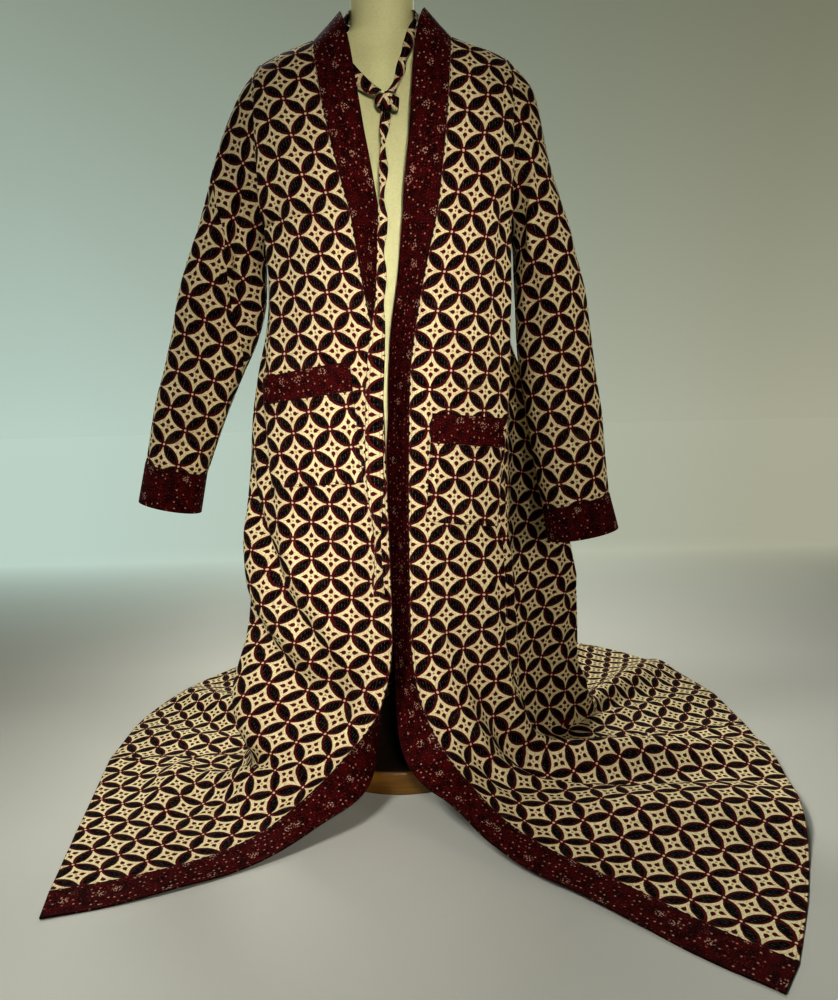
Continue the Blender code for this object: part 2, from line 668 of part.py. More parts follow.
def lathe(name, profile, sides, finish, squash=None):
    """A closed solid from rings of (height, radius); squash gives other ring shapes."""
    points, faces = [], []
    for row in profile:
        for j in range(sides):
            turn = 2 * math.pi * j / sides
            plain = (row[1] * math.cos(turn), row[1] * math.sin(turn), row[0])
            points.append(squash(row, turn) if squash else plain)
    for i in range(len(profile) - 1):
        for j in range(sides):
            a, b = i * sides + j, i * sides + (j + 1) % sides
            faces.append((a, b, b + sides, a + sides))
    faces.append(tuple(range(sides))[::-1])
    top = (len(profile) - 1) * sides
    faces.append(tuple(range(top, top + sides)))
    return add_mesh(name, points, faces, finish)


def form_ring(row, turn):
    """A rounded ring of the form, deeper or shallower in front and behind."""
    half, front, back, roundness = row[1:]
    c, s = math.cos(turn), math.sin(turn)
    power = 2 / roundness
    x = half * math.copysign(abs(c) ** power, c)
    y = (back if s > 0 else front) * math.copysign(abs(s) ** power, s)
    return (x, y, row[0])


def build_form(cream, wood):
    rows = [(z, *spline(FORM, z)) for z in form_heights()]
    lathe("form_torso", rows, FORM_SIDES, cream, form_ring)
    pole = [(BASE_HEIGHT + SEAM, POLE_RADIUS), (FORM[0][0] - SEAM, POLE_RADIUS)]
    lathe("form_pole", pole, POLE_SIDES, wood)
    base = [
        (0.0, BASE_RADIUS - BASE_EDGE / 2), (BASE_EDGE / 2, BASE_RADIUS),
        (BASE_HEIGHT - BASE_EDGE, BASE_RADIUS),
        (BASE_HEIGHT - BASE_EDGE * 0.3, BASE_RADIUS - BASE_EDGE * 0.3),
        (BASE_HEIGHT, BASE_RADIUS - BASE_EDGE),
    ]
    lathe("form_base", base, BASE_SIDES, wood)


def form_heights():
    heights = []
    for low, high in zip(FORM[:-1], FORM[1:]):
        count = 2 if high[0] - low[0] > 0.07 else 1
        heights += [low[0] + (high[0] - low[0]) * k / count for k in range(count)]
    return heights + [FORM[-1][0]]


def build_coat(cloth, maroon):
    grids, normals = {}, {}
    for panel in ("front_left", "front_right", "back"):
        grids[panel], normals[panel] = panel_grid(panel)
    torso = TORSO_ROWS
    ring = [math.pi * k / torso for k in range(2 * torso)]
    sleeves = {
        "left": tube_grid(SLEEVE_LEFT, SLEEVE_ROWS, ring),
        "right": tube_grid(SLEEVE_RIGHT, SLEEVE_ROWS, ring),
    }
    tubes = {side: outward(grid_normals(grid, True), grid) for side, grid in sleeves.items()}

    # the slope of the shoulder seam is shared by the fronts and the back
    for side, sign in (("left", -1.0), ("right", 1.0)):
        lean = unit(np.array([sign * (NECK_Z - TIP_Z), 0.0, TIP_X - NECK_X]))
        normals["front_" + side][0, :] = lean
        span = slice(0, SHOULDER_COLUMNS + 1) if side == "left" else slice(-SHOULDER_COLUMNS - 1, None)
        normals["back"][0, span] = lean
    # side seams and armholes: pieces that meet share one normal
    for side, column in (("left", 0), ("right", -1)):
        front = normals["front_" + side]
        tube = tubes[side]
        for k in range(len(front)):
            if k > torso:
                shared = average(front[k, -1], normals["back"][k, column])
                front[k, -1] = normals["back"][k, column] = shared
            elif k == torso:
                front[k, -1] = normals["back"][k, column] = tube[0, torso] = np.array([0.0, 0.0, -1.0])
            elif k > 0:
                front[k, -1] = tube[0, k] = average(front[k, -1], tube[0, k])
                shared = average(normals["back"][k, column], tube[0, 2 * torso - k])
                normals["back"][k, column] = tube[0, 2 * torso - k] = shared
            else:
                tube[0, 0] = front[0, -1]

    half = SEAM / 2
    for side in ("left", "right"):
        panel = "front_" + side
        grid, face = band_grid(side, grids[panel], normals[panel])
        for k in range(len(face)):
            shared = average(face[k, 0], face[k, 1])
            if k == 0:
                shared = face[k, 1]
            face[k, 0] = normals[panel][k, 0] = shared
        wall("band_" + side, draw_in(grid, row_start=half, column_start=SEAM), face, BAND, maroon)
        drawn = draw_in(grids[panel], row_start=half, column_end=half)
        wall(panel, drawn, normals[panel], CLOTH, cloth)
        drawn = draw_in(sleeves[side], row_start=ARMHOLE_GAP, row_end=half, around=True)
        wall("sleeve_" + side, drawn, tubes[side], CLOTH, cloth, True)
        cuff = tube_grid(CUFF_LEFT if side == "left" else CUFF_RIGHT, CUFF_ROWS, ring)
        cuff_faces = outward(grid_normals(cuff, True), cuff)
        wall("cuff_" + side, draw_in(cuff, half, around=True), cuff_faces, BAND, maroon, True)
    build_neck_band(grids["back"], normals["back"], maroon)
    drawn = draw_in(grids["back"], row_start=half, column_start=half, column_end=half)
    wall("back", drawn, normals["back"], CLOTH, cloth)


def build_neck_band(back, back_normals, maroon):
    """The band behind the neck, which stands up and leans toward the form's neck."""
    span = slice(SHOULDER_COLUMNS, SHOULDER_COLUMNS + NECK_COLUMNS + 1)
    seam = back[0, span]
    turn = math.radians(spline(BAND_TURN, 0.0)[0])
    lean = np.array([NECK_X - TIP_X, 0.0, NECK_Z - TIP_Z]) / math.hypot(NECK_X - TIP_X, NECK_Z - TIP_Z)
    below = np.array([-lean[2], 0.0, -lean[0]])
    side_way = lean * math.cos(turn) - below * math.sin(turn)
    rows, faces = [[], [], []], []
    for k, point in enumerate(seam):
        share = neck_share(point[0]) ** 0.5
        sign = math.copysign(1.0, point[0]) if abs(point[0]) > 1e-6 else 0.0
        way = np.array([side_way[0] * sign * (1 - share), -0.26 * share, abs(side_way[2]) + 0.25 * share])
        way = way / np.linalg.norm(way)
        for row, reach in enumerate((0.0, 0.5, 1.0)):
            rows[row].append(point + way * BAND_WIDTH * reach)
    grid = np.array(rows)
    face = grid_normals(grid)
    face *= np.sign(face[1, NECK_COLUMNS // 2, 1])
    for k in range(NECK_COLUMNS + 1):
        if 0 < k < NECK_COLUMNS:
            shared = average(face[0, k], back_normals[0, SHOULDER_COLUMNS + k])
            face[0, k] = back_normals[0, SHOULDER_COLUMNS + k] = shared
    for k, sign in ((0, -1.0), (NECK_COLUMNS, 1.0)):
        flat = unit(np.array([sign * side_way[2], 0.0, -side_way[0]]))
        face[:, k] = flat
    half = SEAM / 2
    wall("band_neck", draw_in(grid, row_start=SEAM, column_start=half, column_end=half), face, BAND, maroon)


def build_pockets(cloth, maroon):
    for side in ("left", "right"):
        pocket = dict(zip(POCKET_KEYS, POCKETS[side]))
        split = POCKET_BAND_HEIGHT / (pocket["near_top"] - pocket["near_low"])
        grid, face = pocket_grid(side, 0.0, split, 2, BAND)
        wall("pocket_band_" + side, draw_in(grid, row_end=SEAM / 2), face, BAND, maroon)
        grid, face = pocket_grid(side, split, 1.0, POCKET_ROWS, CLOTH)
        wall("pocket_" + side, draw_in(grid, row_start=SEAM / 2), face, CLOTH, cloth)


def main():
    for old in list(bpy.data.objects):
        bpy.data.objects.remove(old, do_unlink=True)
    cloth = material("batik cotton", (0.42, 0.33, 0.22), 0.85)
    maroon = material("maroon band", (0.09, 0.012, 0.015), 0.85)
    cream = material("form cover", (0.72, 0.68, 0.42), 0.45)
    wood = material("form wood", (0.50, 0.25, 0.08), 0.40)
    build_coat(cloth, maroon)
    build_pockets(cloth, maroon)
    build_belt(cloth)
    build_form(cream, wood)


main()
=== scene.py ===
"""The looks of a batik overcoat on a dress form.

Every cloth piece is a thin shell on the form of its solid, worked out from the same
tables at a finer step, with more creases, and with the printed pattern laid flat on it.
Metres, +Z up. The coat's front faces -Y; left and right are as seen from the front.
Levels 0 to 1 run from the shoulder to the underarm, 1 to 2 down to where the cloth
starts to spread, and 2 to 3 out over the floor to the hem.
"""

import math

import bpy
import numpy as np
from mathutils import Matrix, Vector


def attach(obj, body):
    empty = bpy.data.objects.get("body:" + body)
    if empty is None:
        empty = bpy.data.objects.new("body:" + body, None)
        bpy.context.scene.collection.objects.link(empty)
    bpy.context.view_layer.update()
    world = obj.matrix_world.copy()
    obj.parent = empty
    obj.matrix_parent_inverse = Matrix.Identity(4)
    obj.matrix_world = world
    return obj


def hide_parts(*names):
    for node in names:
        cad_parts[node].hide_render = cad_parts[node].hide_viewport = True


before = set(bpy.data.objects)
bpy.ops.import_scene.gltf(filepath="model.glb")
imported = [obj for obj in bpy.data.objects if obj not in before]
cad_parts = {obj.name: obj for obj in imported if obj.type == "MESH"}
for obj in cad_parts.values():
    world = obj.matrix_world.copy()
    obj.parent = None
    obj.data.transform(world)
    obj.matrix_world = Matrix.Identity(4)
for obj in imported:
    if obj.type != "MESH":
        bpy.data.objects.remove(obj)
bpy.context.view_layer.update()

# ---- sizes shared with the solids ----
CLOTH = 0.0016
BAND = 0.0024
BAND_WIDTH = 0.058
SEAM = 0.0003
ARMHOLE_GAP = 0.0006
POCKET_LIFT = 0.0014
NECK_X, NECK_Z = 0.11, 1.235
TIP_X, TIP_Z = 0.205, 1.197
UNDERARM_Z = 0.93
ARMHOLE_DEPTH = 0.085
NECK_BACK = 0.088
NECK_DIP = 0.01
BACK_Y = 0.125
SPREAD_Z = 0.3
BEND = 0.07
REACH = 0.45
LYING_BELOW, LYING_TURN = 0.02, 1.5
SHOULDER_COLUMNS, NECK_COLUMNS = 7, 10
OUTWARD = {"front_left": 1.0, "front_right": -1.0, "back": 1.0}

# height, then sideways and forward of the left front edge and of the right one
FRONT_EDGE = (
    (0.93, -0.055, -0.13, 0.081, -0.13), (0.79, -0.034, -0.14, 0.049, -0.138),
    (0.7, -0.017, -0.146, 0.034, -0.142), (0.56, -0.011, -0.151, 0.026, -0.144),
    (0.4, -0.009, -0.153, 0.022, -0.147), (0.3, -0.008, -0.155, 0.021, -0.15),
)
SWEEP = {
    "left": (
        (-0.008, -0.155, 0.3), (-0.012, -0.158, 0.22), (-0.035, -0.175, 0.14),
        (-0.09, -0.205, 0.08), (-0.15, -0.248, 0.036), (-0.204, -0.291, 0.012),
        (-0.256, -0.323, 0.003), (-0.321, -0.355, 0.001), (-0.384, -0.379, 0.001),
        (-0.461, -0.4, 0.001),
    ),
    "right": (
        (0.021, -0.15, 0.3), (0.022, -0.154, 0.23), (0.036, -0.178, 0.155),
        (0.072, -0.222, 0.092), (0.112, -0.262, 0.055), (0.153, -0.308, 0.03),
        (0.2, -0.346, 0.014), (0.268, -0.4, 0.006), (0.33, -0.457, 0.002),
        (0.38, -0.507, 0.001), (0.446, -0.563, 0.001),
    ),
}
# Level, then degrees by which the left and the right band turn inward. Between levels
# 2.0 and 2.6 the left one turns further in than its solid.
BAND_TURN = (
    (0.0, -24.0, -24.0), (0.22, -2.0, -2.0), (0.5, 16.0, 12.0), (0.95, 38.0, 18.0),
    (1.22, 66.0, 46.0), (1.45, 100.0, 53.0), (1.65, 110.0, 55.0), (2.0, 112.0, 60.0),
    (2.1, 110.0, 61.0), (2.19, 105.0, 54.0), (2.31, 80.0, 30.0), (2.42, 38.0, 12.0),
    (2.54, 10.0, 3.0), (2.66, 0.0, 0.0), (3.0, 0.0, 0.0),
)
# height, left side seam, right side seam (sideways, forward), middle of the back, lobe
SIDES = (
    (0.93, -0.205, 0.205, 0.0, 0.125, 0.0), (0.78, -0.209, 0.203, 0.0, 0.13, 0.012),
    (0.65, -0.238, 0.202, 0.002, 0.14, 0.07), (0.45, -0.256, 0.2, 0.006, 0.165, 0.135),
    (0.3, -0.266, 0.204, 0.01, 0.19, 0.165),
)
LOBE_AT, LOBE_WIDTH = 62.0, 20.0
NECK_BAND_LEAN = (-0.26, 0.25)
HEM_LEFT, HEM_RIGHT, HEM_RIGHT_BULGE = (-0.541, -0.005), (0.664, 0.075), 0.05
HEM_BACK = (
    (-0.541, -0.005), (-0.545, 0.19), (-0.49, 0.395), (-0.36, 0.575), (-0.17, 0.69),
    (0.06, 0.735), (0.29, 0.715), (0.48, 0.61), (0.615, 0.43), (0.662, 0.25), (0.664, 0.075),
)
# Soft ridges, and troughs where the height is negative: from one column and level to
# another, half width, height. These are the broad ones.
RIDGES = {
    "front_left": (
        (0.95, 1.72, 0.3, 2.2, 0.11, 0.014), (0.98, 2.02, 0.45, 2.34, 0.11, 0.016),
        (0.7, 2.52, 0.22, 2.46, 0.09, 0.04), (0.95, 2.66, 0.45, 2.76, 0.08, 0.018),
    ),
    "front_right": (
        (0.97, 1.6, 0.8, 2.4, 0.08, 0.016), (0.72, 2.3, 0.8, 2.9, 0.11, 0.046),
        (0.3, 2.55, 0.52, 2.98, 0.13, 0.03),
    ),
    "back": (
        (0.94, 2.35, 0.93, 2.97, 0.034, 0.03), (0.86, 2.3, 0.84, 2.96, 0.034, 0.046),
        (0.7, 1.7, 0.71, 2.92, 0.04, 0.04), (0.56, 1.6, 0.55, 2.95, 0.04, 0.034),
        (0.42, 1.7, 0.42, 2.9, 0.04, 0.038), (0.28, 1.6, 0.27, 2.95, 0.036, 0.042),
        (0.14, 1.9, 0.15, 2.94, 0.034, 0.04), (0.04, 2.4, 0.05, 2.95, 0.022, 0.024),
    ),
    "sleeve_left": (), "sleeve_right": (),
}
# Creases that only the shells have.
CREASES = {
    "front_left": (
        (0.3, 0.2, 0.2, 1.1, 0.07, -0.004), (0.62, 0.25, 0.5, 1.3, 0.08, -0.005),
        (0.85, 0.85, 0.62, 1.4, 0.06, 0.005), (0.2, 1.6, 0.16, 2.2, 0.06, -0.005),
        (0.9, 1.62, 0.42, 2.08, 0.05, -0.007), (0.55, 1.55, 0.42, 1.95, 0.06, 0.005),
        (0.52, 2.62, 0.3, 2.8, 0.06, -0.006), (0.98, 1.98, 0.18, 2.24, 0.05, -0.03),
        (0.96, 2.2, 0.2, 2.37, 0.08, 0.036), (0.88, 2.46, 0.4, 2.56, 0.05, -0.012),
        (0.7, 1.62, 0.15, 2.12, 0.034, 0.009), (0.84, 1.66, 0.16, 2.22, 0.042, -0.02),
        (0.74, 1.8, 0.3, 2.14, 0.03, 0.008), (0.8, 1.46, 0.5, 1.82, 0.04, -0.008),
        (0.8, 1.3, 0.56, 1.76, 0.04, -0.008), (0.5, 1.9, 0.2, 2.1, 0.04, 0.006),
    ),
    "front_right": (
        (0.32, 0.2, 0.26, 1.2, 0.07, -0.004), (0.66, 0.2, 0.62, 1.3, 0.07, -0.005),
        (0.86, 0.9, 0.74, 1.6, 0.05, 0.005), (0.9, 1.3, 0.88, 2.1, 0.05, -0.012),
        (0.45, 1.65, 0.4, 2.25, 0.06, -0.005), (0.66, 1.7, 0.6, 2.3, 0.055, 0.006),
        (0.56, 2.2, 0.62, 2.7, 0.07, -0.008), (0.2, 2.2, 0.34, 2.6, 0.07, -0.006),
        (0.97, 1.0, 0.93, 2.0, 0.06, -0.022), (0.8, 1.5, 0.72, 2.2, 0.06, -0.008),
        (0.92, 2.3, 0.94, 2.9, 0.05, -0.016), (0.46, 2.4, 0.56, 2.9, 0.05, 0.008),
        (0.14, 1.96, 0.62, 2.36, 0.06, -0.014), (0.7, 1.72, 0.84, 2.3, 0.05, -0.016),
        (0.44, 1.86, 0.72, 2.4, 0.05, 0.012), (0.1, 2.12, 0.44, 2.44, 0.05, 0.01),
    ),
    "back": (
        (0.5, 0.1, 0.5, 1.5, 0.03, -0.005), (0.34, 0.2, 0.35, 1.6, 0.03, -0.006),
        (0.66, 0.2, 0.65, 1.6, 0.03, -0.006), (0.2, 0.6, 0.22, 1.8, 0.028, -0.006),
        (0.8, 0.6, 0.78, 1.6, 0.028, -0.006), (0.63, 1.5, 0.63, 2.6, 0.024, -0.016),
        (0.49, 1.6, 0.48, 2.6, 0.024, -0.014), (0.35, 1.6, 0.35, 2.6, 0.022, -0.016),
        (0.21, 1.7, 0.21, 2.6, 0.022, -0.014), (0.9, 1.7, 0.9, 2.4, 0.016, -0.012),
        (0.79, 1.6, 0.78, 2.5, 0.022, -0.014), (0.08, 1.6, 0.1, 2.5, 0.018, -0.01),
    ),
    "sleeve_left": (
        (0.8, 0.06, 0.86, 0.46, 0.13, -0.032), (0.6, 0.1, 0.62, 0.9, 0.06, 0.008),
        (0.565, 0.03, 0.58, 0.32, 0.022, -0.007), (0.58, 0.31, 0.9, 0.37, 0.03, -0.01),
        (0.82, 0.5, 0.84, 0.85, 0.11, -0.012), (0.62, 0.06, 0.8, 0.36, 0.06, -0.006),
        (0.74, 0.1, 0.93, 0.34, 0.05, 0.006),
        (0.6, 0.36, 0.9, 0.5, 0.045, -0.006), (0.58, 0.5, 0.88, 0.62, 0.05, 0.005),
        (0.62, 0.66, 0.84, 0.74, 0.045, -0.005), (0.4, 0.1, 0.22, 0.36, 0.06, -0.006),
        (0.42, 0.46, 0.16, 0.56, 0.05, -0.005), (0.66, 0.8, 0.78, 0.96, 0.05, -0.004),
    ),
    "sleeve_right": (
        (0.64, 0.04, 0.82, 0.4, 0.055, -0.007), (0.88, 0.12, 0.84, 0.52, 0.045, -0.009),
        (0.74, 0.12, 0.92, 0.3, 0.045, 0.006), (0.62, 0.4, 0.84, 0.52, 0.045, 0.005),
        (0.6, 0.55, 0.84, 0.64, 0.045, -0.005), (0.4, 0.1, 0.22, 0.36, 0.06, -0.006),
        (0.42, 0.46, 0.16, 0.56, 0.05, -0.005), (0.7, 0.72, 0.8, 0.95, 0.05, -0.004),
    ),
}
# Small waves over a whole piece: wavelength across and along, turn, height.
WAVES = ((0.21, 0.33, 0.3, 0.0011), (0.12, 0.19, 1.1, 0.0008), (0.075, 0.11, 2.3, 0.0005))

# rings of a sleeve: x and z outside, x and z inside, half depth, y of the middle
SLEEVES = {
    "left": (
        (-0.205, 1.197, -0.205, 0.93, 0.085, 0.0), (-0.238, 1.16, -0.2125, 0.906, 0.084, 0.0),
        (-0.272, 1.08, -0.2155, 0.862, 0.079, -0.002), (-0.31, 0.962, -0.217, 0.81, 0.071, -0.008),
        (-0.347, 0.841, -0.232, 0.752, 0.064, -0.014), (-0.392, 0.69, -0.28, 0.65, 0.058, -0.018),
        (-0.431, 0.547, -0.332, 0.522, 0.053, -0.02),
    ),
    "right": (
        (0.205, 1.197, 0.205, 0.93, 0.085, 0.0), (0.2385, 1.16, 0.2125, 0.905, 0.084, 0.0),
        (0.262, 1.075, 0.215, 0.86, 0.079, -0.004), (0.294, 0.962, 0.215, 0.8, 0.071, -0.012),
        (0.322, 0.85, 0.216, 0.735, 0.064, -0.018), (0.349, 0.68, 0.23, 0.605, 0.059, -0.024),
        (0.37, 0.474, 0.257, 0.448, 0.055, -0.026),
    ),
}
CUFF_ENDS = {
    "left": (-0.447, 0.48, -0.346, 0.455, 0.054, -0.02),
    "right": (0.386, 0.412, 0.266, 0.39, 0.056, -0.026),
}
# near x and its top, far x and its top, near and far bottom, drift of x on the way down
POCKETS = {
    "left": (-0.062, 0.7, -0.213, 0.68, 0.511, 0.503, 0.016),
    "right": (0.064, 0.617, 0.181, 0.606, 0.447, 0.428, -0.014),
}
POCKET_BAND_HEIGHT = 0.046

BELT = 0.0018
KNOT_AT = np.array((0.004, -0.0965, 1.104))
LOOP_ROUTE = (
    (0.012, -0.0942, 1.1195), (0.033, -0.08, 1.168), (0.045, -0.062, 1.212),
    (0.056, -0.04, 1.248), (0.0572, -0.01, 1.277), (0.0512, 0.024, 1.286),
    (0.0307, 0.0474, 1.291), (0.0, 0.0564, 1.292), (-0.0307, 0.0474, 1.29),
    (-0.0512, 0.0248, 1.285), (-0.0572, 0.006, 1.28), (-0.0598, -0.012, 1.272),
    (-0.066, -0.029, 1.256), (-0.075, -0.0445, 1.232), (-0.075, -0.059, 1.202),
    (-0.059, -0.072, 1.169), (-0.033, -0.0845, 1.138), (-0.0072, -0.0948, 1.1195),
)
# height, x, y, half width, degrees of twist
TAIL = (
    (1.096, 0.003, -0.0965, 0.009, 10.0), (1.0, -0.001, -0.11, 0.008, 50.0),
    (0.9, -0.006, -0.126, 0.008, 20.0), (0.78, -0.012, -0.149, 0.009, 25.0),
    (0.715, -0.019, -0.156, 0.013, 10.0), (0.62, -0.026, -0.158, 0.014, 4.0),
    (0.5, -0.028, -0.16, 0.013, 8.0), (0.43, -0.026, -0.164, 0.007, 40.0),
    (0.33, -0.026, -0.164, 0.01, 20.0),
)

SHOULDER_SLOPE = (NECK_Z - TIP_Z) / (TIP_X - NECK_X)
FORM_REST = 0.0015
# height, half width, reach to the front and the back, roundness of the ring
FORM = tuple(
    (z, half or NECK_X + (NECK_Z - FORM_REST - z) / SHOULDER_SLOPE, front, back, roundness)
    for z, half, front, back, roundness in (
        (0.5, 0.148, 0.084, 0.096, 2.2), (0.59, 0.158, 0.086, 0.106, 2.2),
        (0.75, 0.138, 0.076, 0.092, 2.2), (0.9, 0.154, 0.083, 0.098, 2.2),
        (1.0, 0.164, 0.087, 0.1, 2.2), (1.08, 0.17, 0.084, 0.098, 2.1),
        (1.13, 0.179, 0.078, 0.088, 1.9), (1.17, 0.186, 0.068, 0.072, 1.7),
        (1.193, 0.181, 0.06, 0.06, 1.5), (1.208, None, 0.053, 0.053, 1.4),
        (1.22, None, 0.051, 0.051, 1.4), (1.23, None, 0.05, 0.05, 1.5),
        (1.24, 0.072, 0.05, 0.051, 1.8), (1.254, 0.0565, 0.052, 0.052, 2.0),
        (1.27, 0.0542, 0.0538, 0.0538, 2.0), (1.33, 0.054, 0.054, 0.054, 2.0),
    )
)
NECK_GROOVE = 1.315
BASE_RADIUS, BASE_HEIGHT, BASE_EDGE, BASE_MIDDLE = 0.167, 0.039, 0.006, 0.03

# ---- fineness of the shells ----
TORSO_ROWS, FALL_ROWS, SPREAD_ROWS = 40, 66, 84
PANEL_COLUMNS = {"front_left": 60, "front_right": 60, "back": 156}
SLEEVE_ROWS, RING_COLUMNS, BAND_STEPS = 84, 96, 8
NORMAL_STEP = 0.004     # of column and level, to find a surface's direction

# ---- colours ----
CREAM, CREAM_STREAK = (0.8, 0.72, 0.44), (0.5, 0.42, 0.2)
CREAM_STAIN, CREAM_SPECK = (0.64, 0.5, 0.28), (0.36, 0.28, 0.12)
BLACK, BLACK_WORN = (0.001, 0.0008, 0.001), (0.12, 0.115, 0.09)
MAROON, MAROON_DEEP = (0.085, 0.004, 0.006), (0.055, 0.002, 0.004)
CELL_HEART, NODE_DOT, CRACK = (0.17, 0.14, 0.03), (0.66, 0.52, 0.36), (0.1, 0.06, 0.03)
BAND_DARK, BAND_RED = (0.009, 0.0006, 0.0006), (0.044, 0.0016, 0.0021)
BAND_SPECK = (0.12, 0.012, 0.012)
DOT_PALE, DOT_RED, DOT_SMALL = (0.4, 0.26, 0.19), (0.3, 0.07, 0.06), (0.3, 0.05, 0.04)
# the first colour here is painted shade along cloth edges and seams
EDGE_SHADE, STITCH_RED = (0.012, 0.004, 0.004), (0.05, 0.008, 0.008)
COVER_DARK, COVER_PALE, COVER_SPECK = (0.68, 0.65, 0.33), (0.76, 0.73, 0.39), (0.45, 0.4, 0.2)
WOOD_DARK, WOOD_PALE = (0.15, 0.062, 0.002), (0.21, 0.098, 0.003)
# the second colour here is painted shade for the top face of the base
WOOD_GRAIN, WOOD_TOP_SHADE = (0.08, 0.03, 0.001), (0.012, 0.007, 0.004)
PAPER_DARK, PAPER_PALE, PAPER_SPECK = (0.46, 0.45, 0.4), (0.5, 0.49, 0.44), (0.4, 0.39, 0.34)
PAPER_FAR = (0.02, 0.02, 0.02)
# the studio's far side, at the horizon and high up
FAR_LEFT, FAR_RIGHT = (0.43, 0.54, 0.48), (0.35, 0.35, 0.27)
HIGH_LEFT, HIGH_RIGHT = (0.24, 0.28, 0.23), (0.16, 0.165, 0.115)
FRONT_TONE = (0.014, 0.014, 0.013)      # what the studio's near side gives as light
SIDE_TONE = (0.2, 0.215, 0.185)         # how that side looks to the camera

# ---- print and sewing, in metres of flat cloth ----
NODE_STEP = 0.0435      # from one crossing of the printed lattice to the next
CORE_SHIFT = 0.0009     # the black is printed a little beside the maroon
HAIRLINE_STEP = 0.0043  # between the pale hairlines in the black
STITCH_INSET, STITCH_STEP = 0.004, 0.0032
# The same print in steps of the lattice: a petal's outer and black edge, as a distance
# from the middle of the circle it belongs to, and where a cell's seeds lie.
PETAL_EDGE, CORE_EDGE, SEED_AT = 0.702, 0.63, 0.17
UPPER_SLOPE, UPPER_FROM = 2.4, 0.03     # the line on a sleeve where its other grain ends


# ---------------------------------------------------------------- shapes

def spline(rows, at):
    """A smooth curve through rows of numbers; the first column is the parameter."""
    table = np.array(rows, float)
    knots, values = table[:, 0], table[:, 1:]
    steps = np.diff(knots)
    slopes = np.diff(values, axis=0) / steps[:, None]
    ahead, behind = steps[1:, None], steps[:-1, None]
    inner = (slopes[:-1] * ahead + slopes[1:] * behind) / (ahead + behind)
    tangents = np.vstack([slopes[:1], inner, slopes[-1:]])
    at = np.clip(np.asarray(at, float), knots[0], knots[-1])
    k = np.minimum(np.searchsorted(knots, at, side="right") - 1, len(steps) - 1)
    t = ((at - knots[k]) / steps[k])[..., None]
    h = steps[k][..., None]
    low = (2 * t**3 - 3 * t**2 + 1) * values[k] + (t**3 - 2 * t**2 + t) * h * tangents[k]
    high = (3 * t**2 - 2 * t**3) * values[k + 1] + (t**3 - t**2) * h * tangents[k + 1]
    return low + high


def route(points):
    """Rows for spline(): the share of the length gone, then the point itself."""
    points = np.array(points, float)
    gone = np.concatenate([[0.0], np.cumsum(np.linalg.norm(np.diff(points, axis=0), axis=1))])
    return np.column_stack([gone / gone[-1], points])


def falling(table, z):
    """A table whose rows go down in height, at any heights."""
    rows = np.array(table, float)
    rows[:, 0] *= -1
    return spline(rows, -np.asarray(z, float))


def point(x, y, z):
    return np.stack(np.broadcast_arrays(x, y, z), axis=-1)


def unit(vectors):
    return vectors / np.maximum(np.linalg.norm(vectors, axis=-1, keepdims=True), 1e-9)


def rounding(level, full):
    return np.sqrt(1.0 - (1.0 - np.minimum(level / full, 1.0)) ** 2)


def fall_height(level):
    return UNDERARM_Z + (SPREAD_Z - UNDERARM_Z) * (level - 1.0)


def ease(share, rate):
    """0 at both ends of the range 0 to 1, and 1 between them."""
    return np.minimum(1.0, np.minimum(share, 1 - share) * rate)


def bend_profile(part):
    """Share of the way out, and share of the height left, for cloth that falls and lies down."""
    drop, arc, flat = SPREAD_Z - BEND, BEND * math.pi / 2, REACH - BEND
    gone = part * (drop + arc + flat)
    angle = np.clip((gone - drop) / BEND, 0.0, math.pi / 2)
    out = (BEND * (1 - np.cos(angle)) + np.maximum(gone - drop - arc, 0.0)) / REACH
    left = np.where(gone < drop, 1 - gone / SPREAD_Z, BEND * (1 - np.sin(angle)) / SPREAD_Z)
    return out, left


def front_edge(side, level):
    """The seam between a front panel and its band."""
    sign = -1.0 if side == "left" else 1.0
    first = 0 if side == "left" else 2
    low = falling(FRONT_EDGE, UNDERARM_Z)[first:first + 2]
    share = np.clip(level, 0.0, 1.0)
    chest = point(sign * NECK_X + (low[0] - sign * NECK_X) * share ** 1.5,
                  low[1] * rounding(share, 0.75), NECK_Z + (UNDERARM_Z - NECK_Z) * share)
    z = fall_height(np.clip(level, 1.0, 2.0))
    spot = falling(FRONT_EDGE, z)
    fall = point(spot[..., first], spot[..., first + 1], z)
    swept = spline(route(SWEEP[side]), np.clip(level - 2.0, 0.0, 1.0))
    level = np.asarray(level)[..., None]
    return np.where(level <= 1.0, chest, np.where(level <= 2.0, fall, swept))


def armhole(side, level, front):
    sign = -1.0 if side == "left" else 1.0
    toward = -1.0 if front else 1.0
    y = toward * ARMHOLE_DEPTH * 2 * np.sqrt(np.maximum(level * (1 - level), 0.0))
    return point(sign * TIP_X, y, TIP_Z + (UNDERARM_Z - TIP_Z) * level)


def side_seam(side, level):
    z = fall_height(level)
    row = falling(SIDES, z)
    if side == "left":
        return point(row[..., 0], 0.0, z)
    return point(row[..., 1], row[..., 2], z)


def upper_front(side, column, level):
    near = front_edge(side, level)
    high = armhole(side, np.clip(level, 0.0, 1.0), True)
    far = np.where((level <= 1.0)[..., None], high, side_seam(side, np.maximum(level, 1.0)))
    across = np.sin(column * math.pi / 2)
    bulge = np.maximum(np.cos(column * math.pi / 2), 0.0) ** 0.75
    return point(near[..., 0] + (far[..., 0] - near[..., 0]) * across,
                 far[..., 1] + (near[..., 1] - far[..., 1]) * bulge,
                 near[..., 2] + (far[..., 2] - near[..., 2]) * across)


def neck_share(x):
    return np.maximum(1.0 - (x / NECK_X) ** 2, 0.0)


